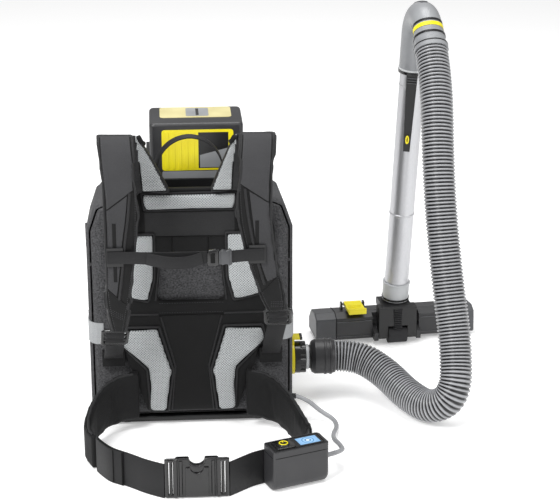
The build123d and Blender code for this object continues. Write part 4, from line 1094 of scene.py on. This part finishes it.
# ladder locks: rounded frames with a roll of webbing over the middle bar
pieces = []
rolls = []
for side, ((y0, z0), (y1, z1), lockX, webX) in down.items():
    way = Vector((0, y1 - y0, z1 - z0)).normalized()
    out = Vector((0, way.z, -way.y)) if way.z > 0 else Vector((0, -abs(way.z), -abs(way.y)))
    start = Vector((lockX, y1, z1))
    tilt = 0.12 if side == "left" else -0.1

    def onLock(x, s, lift=0.0):
        return (start + way * s + Vector((x + tilt * (15 - s), 0, 0)) + out * lift) * mm
    corners = [(-17, 3), (-14, 0.8), (14, 0.8), (17, 3), (17, 27), (14, 29.4), (-14, 29.4), (-17, 27)]
    pieces.append(pipe("lockFrame", [onLock(x, s) for x, s in corners], 2.9 * mm, "gloss", 4, True))
    for s, lift, radius in ((10.5, 0.5, 2.0), (20, 0.5, 2.2)):
        pieces.append(pipe("lockBar", [onLock(x, s, lift) for x in (-17, 0, 17)], radius * mm, "gloss", 4))
    roll = [(2, -1.5), (7, 1.8), (10.5, 4.0), (14.5, 1.6), (17.5, 1.4), (20, 4.2), (24.5, 3.4), (27, 0.5)]
    rolls.append(webStrip("lockRoll", [tuple(onLock(0, s, lift) / mm) for s, lift in roll], (1, 0, 0), 25,
        1.6))
place(joinPieces("ladderLocks", pieces), "pack", "black_plastic", "ladder_locks")
place(joinPieces("lockRolls", rolls), "pack", "webbing")

# ---- hip belt sewing ----
lap = [(-134.6, -235.5, 25), (-120.6, -264.6, 25), (-103, -277.5, 25), (-98, -281, 25)]
pieces = [webStrip("lapWeb", lap, (0, 0, 1), 50, 1.4)]
# the seams across the lap are painted shadow lines
for at in (0.52, 0.97):
    index = int(at * (len(lineOf([Vector(p) * mm for p in lap])) - 1))
    point = lineOf([Vector(p) * mm for p in lap])[index]
    pieces.append(pipe("lapSeam", [point + Vector((-0.4, -0.8, z)) * mm for z in (-24, -8, 8, 24)],
        0.9 * mm, "paintedShadow", 2))
place(joinPieces("beltLap", pieces), "pack", "webbing")

# ---- control box face ----
def boxPoint(x, y, z):
    return Vector(fromBox(x, y, z)) * mm


def boxPlate(name, outline, z0, z1, finish, edge=0.5):
    piece = plate(name, [fromBox(a, b, 0)[:2] for a, b in outline], z0, z1, finish, plane="XY")
    return bevelled(piece, edge) if edge else piece


# the groove round the button pad is a painted shadow line
pieces = [boxPlate("buttonPad", [(a, b) for a, b in roundCorners(-33, -5, -12.5, 12.5, 3)], 60.4, 62.4,
    "gloss", 0.8),
          pipe("panelGroove", [boxPoint(a, b, 60.6) for a, b in roundCorners(-36, 36, -13.6, 14.4, 3)],
              0.45 * mm, "paintedShadow", 2, True)]
place(joinPieces("buttonPad", pieces), "pack", "black_plastic")
ring = [boxPoint(-19 + 5.6 * math.cos(a), 5.6 * math.sin(a),
    63.7) for a in [math.radians(12 * k) for k in range(30)]]
mark = [pipe("powerRing", ring, 0.75 * mm, "yellow", 2, True),
        pipe("powerBar", [boxPoint(-19, 1.2, 63.7), boxPoint(-19, 5.2, 63.7)], 0.7 * mm, "yellow", 2)]
place(joinPieces("powerMark", mark), "power_button", "yellow_plastic")
# the casing seam is a painted shadow line
seam = [boxPoint(a, b, 51) for a, b in ((-41.1, 17), (-41.1, -13), (-38, -17.6), (-34, -18.1), (34, -18.1),
    (38, -17.6), (41.1, -13), (41.1, 17))]
place(pipe("boxSeam", seam, 0.4 * mm, "paintedShadow", 2), "pack", "dark_grey_plastic")

# ---- handle and wand ----
wand = Matrix.Translation(Vector((334, 215, 87)) * mm) @ Matrix.Rotation(math.radians(2.1), 4, "Y") @ \
    Matrix.Rotation(math.radians(5.3), 4, "X") @ Matrix.Rotation(math.radians(6), 4, "Z")
head = Matrix.Translation(Vector((330, 219, 0)) * mm) @ Matrix.Rotation(math.radians(6), 4, "Z")
elbow = dict(bend=40.0, start=421.0, angle=130.0)
exitAngle = math.radians(elbow["angle"])
exitWay = Vector((0, -math.sin(exitAngle), math.cos(exitAngle)))
exitPoint = Vector((0, -elbow["bend"] + elbow["bend"] * math.cos(exitAngle),
    elbow["start"] + elbow["bend"] * math.sin(exitAngle)))


def revolved(name, profile, finish, place, sides=48):
    # closed ring from (distance, radius) pairs; place gives the world point for a distance, radius and angle
    form = bmesh.new()
    turns = [2 * math.pi * k / sides for k in range(sides)]
    rings = [[form.verts.new(place(d, r, a)) for d, r in profile] for a in turns]
    for k in range(sides):
        m = (k + 1) % sides
        for i in range(len(profile)):
            j = (i + 1) % len(profile)
            form.faces.new((rings[k][i], rings[m][i], rings[m][j], rings[k][j]))
    bmesh.ops.recalc_face_normals(form, faces=form.faces)
    mesh = bpy.data.meshes.new(name)
    form.to_mesh(mesh)
    form.free()
    mesh.materials.append(paint[finish])
    return smooth(link(name, mesh), 40)


def lathe(name, profile, origin, way, finish):
    # ring about a direction, in wand millimetres
    side = Vector((1, 0, 0))
    other = way.cross(side).normalized()
    return revolved(name, profile, finish, lambda d, r, a: wand @ (
        (origin + way * d + (side * math.cos(a) + other * math.sin(a)) * r) * mm))


up = Vector((0, 0, 1))
base = Vector((0, 0, 0))
pieces = [
    lathe("swivelBand", [(15.0, 22.8), (15.2, 23.9), (18.4, 23.9), (18.6, 22.8)], exitPoint, exitWay,
        "gloss"),
    lathe("swivelBandLow", [(30.6, 22.8), (30.8, 25.4), (32.6, 25.4), (32.8, 22.8)], exitPoint, exitWay,
        "gloss")]
place(joinPieces("swivelBands", pieces), "hose_swivel", "gloss_black")
pieces = [
    lathe("elbowBand", [(-6.0, 21.3), (-5.8, 22.3), (-2.6, 22.3), (-2.4, 21.3)], exitPoint, exitWay, "gloss"),
    lathe("sleeveBand", [(362.0, 21.2), (362.3, 22.6), (367.0, 22.6), (367.3, 21.2)], base, up, "gloss"),
    lathe("sleeveLip", [(366.8, 21.3), (367.0, 22.2), (369.6, 22.2), (369.8, 21.3)], base, up, "paleGrey")]
place(joinPieces("handleBands", pieces), "pack", "gloss_black")
inset = []
for k in range(19):
    a = math.radians(8 + 78 * k / 18)
    inset.append((a, 9.5 * math.sin(math.pi * min(max((k + 1.5) / 21, 0), 1)) ** 0.5))
form = bmesh.new()
strips = []
for a, half in inset:
    row = []
    for s in range(-4, 5):
        b = half / 21.5 * s / 4
        radius = 21.5 + 0.35
        y = -40 + (40 + radius * math.cos(b)) * math.cos(a)
        z = elbow["start"] + (40 + radius * math.cos(b)) * math.sin(a)
        row.append(form.verts.new(wand @ (Vector((radius * math.sin(b), y, z)) * mm)))
    strips.append(row)
for i in range(len(strips) - 1):
    for s in range(8):
        form.faces.new((strips[i][s], strips[i][s + 1], strips[i + 1][s + 1], strips[i + 1][s]))
mesh = bpy.data.meshes.new("elbowInset")
form.to_mesh(mesh)
form.free()
mesh.materials.append(paint["capGrey"])
insetPiece = link("elbowInset", mesh)
thick = insetPiece.modifiers.new("wall", "SOLIDIFY")
thick.thickness = 0.9 * mm
thick.offset = 0
insetPiece = smooth(bake(insetPiece, "elbowInset"), 50)
place(insetPiece, "pack", "dark_grey_plastic")
gripTurn = math.radians(-16)


def onGrip(x, y, z):
    return wand @ (Vector((x * math.cos(gripTurn) - y * math.sin(gripTurn),
        x * math.sin(gripTurn) + y * math.cos(gripTurn), z)) * mm)


pieces = []
for z in (361, 357, 353):
    pieces.append(pipe("gripRib", [onGrip(x, -30.4, z) for x in (-7.4, 0, 7.4)], 0.8 * mm, "capGrey", 3))
dot = [onGrip(1.8 * math.cos(math.radians(a)), -30.2, 262 + 6 * math.sin(math.radians(a))) for a in range(0,
    360, 24)]
pieces.append(pipe("gripDot", dot, 1.1 * mm, "yellow", 3, True))
place(joinPieces("gripMarks", pieces), "pack", "yellow_plastic")
pieces = [lathe("tubeBead", [(126.0, 19.0), (127.2, 19.9), (129.0, 19.9), (130.2, 19.0)], base, up, "tube"),
          lathe("tubeBeadTop", [(340.0, 19.0), (340.8, 19.6), (342.0, 19.6), (342.8, 19.0)], base, up,
              "tube")]
place(joinPieces("tubeBeads", pieces), "pack", "tube_steel")
pieces = [lathe("socketRing", [(-20.5, 21.0), (-20.0, 22.2), (-17.5, 22.2), (-17.0, 21.0)], base, up,
    "gloss"),
          lathe("socketLip", [(5.0, 21.0), (5.4, 21.9), (8.2, 21.9), (8.6, 19.4)], base, up, "paleGrey")]
place(joinPieces("socketRings", pieces), "pack", "black_plastic")


# ---- hose cuff and port ----
def alongX(name, profile, finish):
    # ring about the hose port's axis
    return revolved(name, profile, finish, lambda x, r, a: Vector(
        (x, 5 + r * math.cos(a), 58 + r * math.sin(a))) * mm)


pieces = [alongX("cuffRing%d" % k, [(x, 25.4), (x + 0.6, 26.9), (x + 2.2, 27.3), (x + 3.8, 26.9),
    (x + 4.4, 25.4)], "darkGrey")
          for k, x in enumerate((197.5, 205.5))]
pieces.append(alongX("cuffNeck", [(170.6, 17.4), (171.0, 18.6), (175.0, 18.6), (175.4, 17.4)], "paleGrey"))
place(joinPieces("cuffRings", pieces), "hose_end", "hose_grey")
piece = plate("ringTip", [(161.5, 58 + 30.6), (165.4, 58 + 30.6), (165.4, 58 + 34.4), (161.5, 58 + 34.4)],
    5 - 9.3, 5 + 9.3, "black")
place(bevelled(piece, 0.5), "bayonet_ring", "black_plastic")
print("hard details done")


# ---- floor nozzle ----
def slatTree(finish):
    tree, start = newGroup("slatsAlongLine", ("Pitch", "Width", "Height", "Depth"))
    spots = addNode(tree, "GeometryNodeCurveToPoints", {"mode": "LENGTH"},
        links={"Curve": (start, "Geometry"), "Length": (start, "Pitch")})
    size = addNode(tree, "ShaderNodeCombineXYZ",
        links={"X": (start, "Width"), "Y": (start, "Depth"), "Z": (start, "Height")})
    slat = addNode(tree, "GeometryNodeMeshCube", inputs={"Size": (1, 1, 1)})
    spread = addNode(tree, "GeometryNodeInstanceOnPoints",
        links={"Points": (spots, "Points"), "Instance": (slat, "Mesh"), "Scale": (size, "Vector")})
    turned = addNode(tree, "GeometryNodeRealizeInstances", links={"Geometry": (spread, "Instances")})
    painted = addNode(tree, "GeometryNodeSetMaterial", inputs={"Material": finish},
        links={"Geometry": (turned, "Geometry")})
    addNode(tree, "NodeGroupOutput", links={"Geometry": (painted, "Geometry")})
    return tree


def slats(name, points, finish, pitch, width, height, depth):
    row = splineCurve(name, [Vector(p) * mm for p in points], "POLY")
    modifier = row.modifiers.new("slats", "NODES")
    modifier.node_group = slatTree(paint[finish])
    setInputs(modifier, {"Pitch": pitch * mm, "Width": width * mm, "Height": height * mm,
        "Depth": depth * mm})
    piece = bake(row, name)
    piece.data.transform(head)
    return piece


pieces = [slats("neckRibs", [(0, -38.0, 24), (0, -38.0, 56)], "rubber", 3.2, 12, 1.6, 2.4)]
edge = [(-6.8, 22), (6.8, 22), (6.8, 58), (-6.8, 58)]
pieces.append(pipe("neckSlot", [head @ (Vector((x, -36.3, z)) * mm) for x, z in edge], 0.8 * mm, "gloss", 3,
    True))
for side in (-1, 1):
    pieces.append(pipe("pivotCap", [head @ (Vector((side * x, -30, 13)) * mm) for x in (30.4, 32)],
        5.0 * mm, "gloss", 6))
place(joinPieces("neckDetails", pieces), "neck", "black_plastic")
pieces = []
# the seams round the end caps are painted shadow lines
for side in (-1, 1):
    profile = [(-24.3, 8), (-24.3, 20), (-22.2, 42.2), (-6, 48.3), (24, 44.3), (41.3, 26), (40.3, 8)]
    pieces.append(pipe("capSeam", [head @ (Vector((side * 97, y, z)) * mm) for y, z in profile], 0.55 * mm,
        "paintedShadow", 3))
# lighter lines along the nozzle body: painted highlight on its edges
for y, z, radius in ((-22.9, 36.5, 0.9), (-24.0, 12.0, 0.7)):
    for x0, x1 in ((-96, -40), (40, 96)):
        pieces.append(pipe("paintedHighlightLine", [head @ (Vector((x, y, z)) * mm) for x in (x0, x1)], radius * mm,
            "capGrey", 3))
place(joinPieces("headDetails", pieces), "floor_head", "dark_grey_plastic")
rows = [slats("bristleRow%d" % k, [(-95, y, 9), (95, y, 9)], "bristle", 1.6, 0.7, 17, 0.7) for k,
    y in enumerate((31.4, 33.0, 34.6))]
spine = plate("bristleSpine", [(-95, 9.5), (95, 9.5), (95, 17.8), (-95, 17.8)], 30.2, 35.8, "black")
spine.data.transform(head)
place(joinPieces("brushStrip", rows + [spine]), "brush", "bristle", "brush_strip")
pieces = [pipe("pedalRib", [head @ (Vector((x, y, 58.0)) * mm) for x in (-76, -54)], 0.8 * mm, "yellow",
    3) for y in (-26, -20, -14, -8)]
place(joinPieces("pedalRibs", pieces), "pedal", "yellow_plastic")
print("nozzle done")


# ---- floor, light ----
def plane(name, size, at, turn=(0, 0, 0)):
    mesh = bpy.data.meshes.new(name)
    h = size / 2
    mesh.from_pydata([(-h, -h, 0), (h, -h, 0), (h, h, 0), (-h, h, 0)], [], [(0, 1, 2, 3)])
    piece = link(name, mesh)
    piece.location = at
    piece.rotation_euler = turn
    return piece


floorPaint, _, floorShader = newMaterial("paleFloor", "f4f4f4", 0.75)
floorShader.inputs["Emission Color"].default_value = (1, 1, 1, 1)
floorShader.inputs["Emission Strength"].default_value = 0.3
floor = plane("floor", 14, (0, 0, -0.0005))
floor.data.materials.append(floorPaint)
lights = [
    ("key", (-1.3, -1.7, 2.3), (52, 0, -38), 1.0, 78),
    ("fill", (1.8, -1.6, 1.5), (62, 0, 48), 1.4, 20),
    ("top", (0.1, 0.5, 2.6), (-12, 0, 0), 1.6, 44),
]
for name, at, turn, size, power in lights:
    data = bpy.data.lights.new(name, "AREA")
    data.size = size
    data.energy = power
    lamp = bpy.data.objects.new(name, data)
    lamp.location = at
    lamp.rotation_euler = [math.radians(a) for a in turn]
    scene.collection.objects.link(lamp)
world = bpy.data.worlds.new("studio")
world.use_nodes = True
world.node_tree.nodes["Background"].inputs["Color"].default_value = (1, 1, 1, 1)
world.node_tree.nodes["Background"].inputs["Strength"].default_value = 0.42
scene.world = world
scene.view_settings.view_transform = "Standard"

print("scene done")
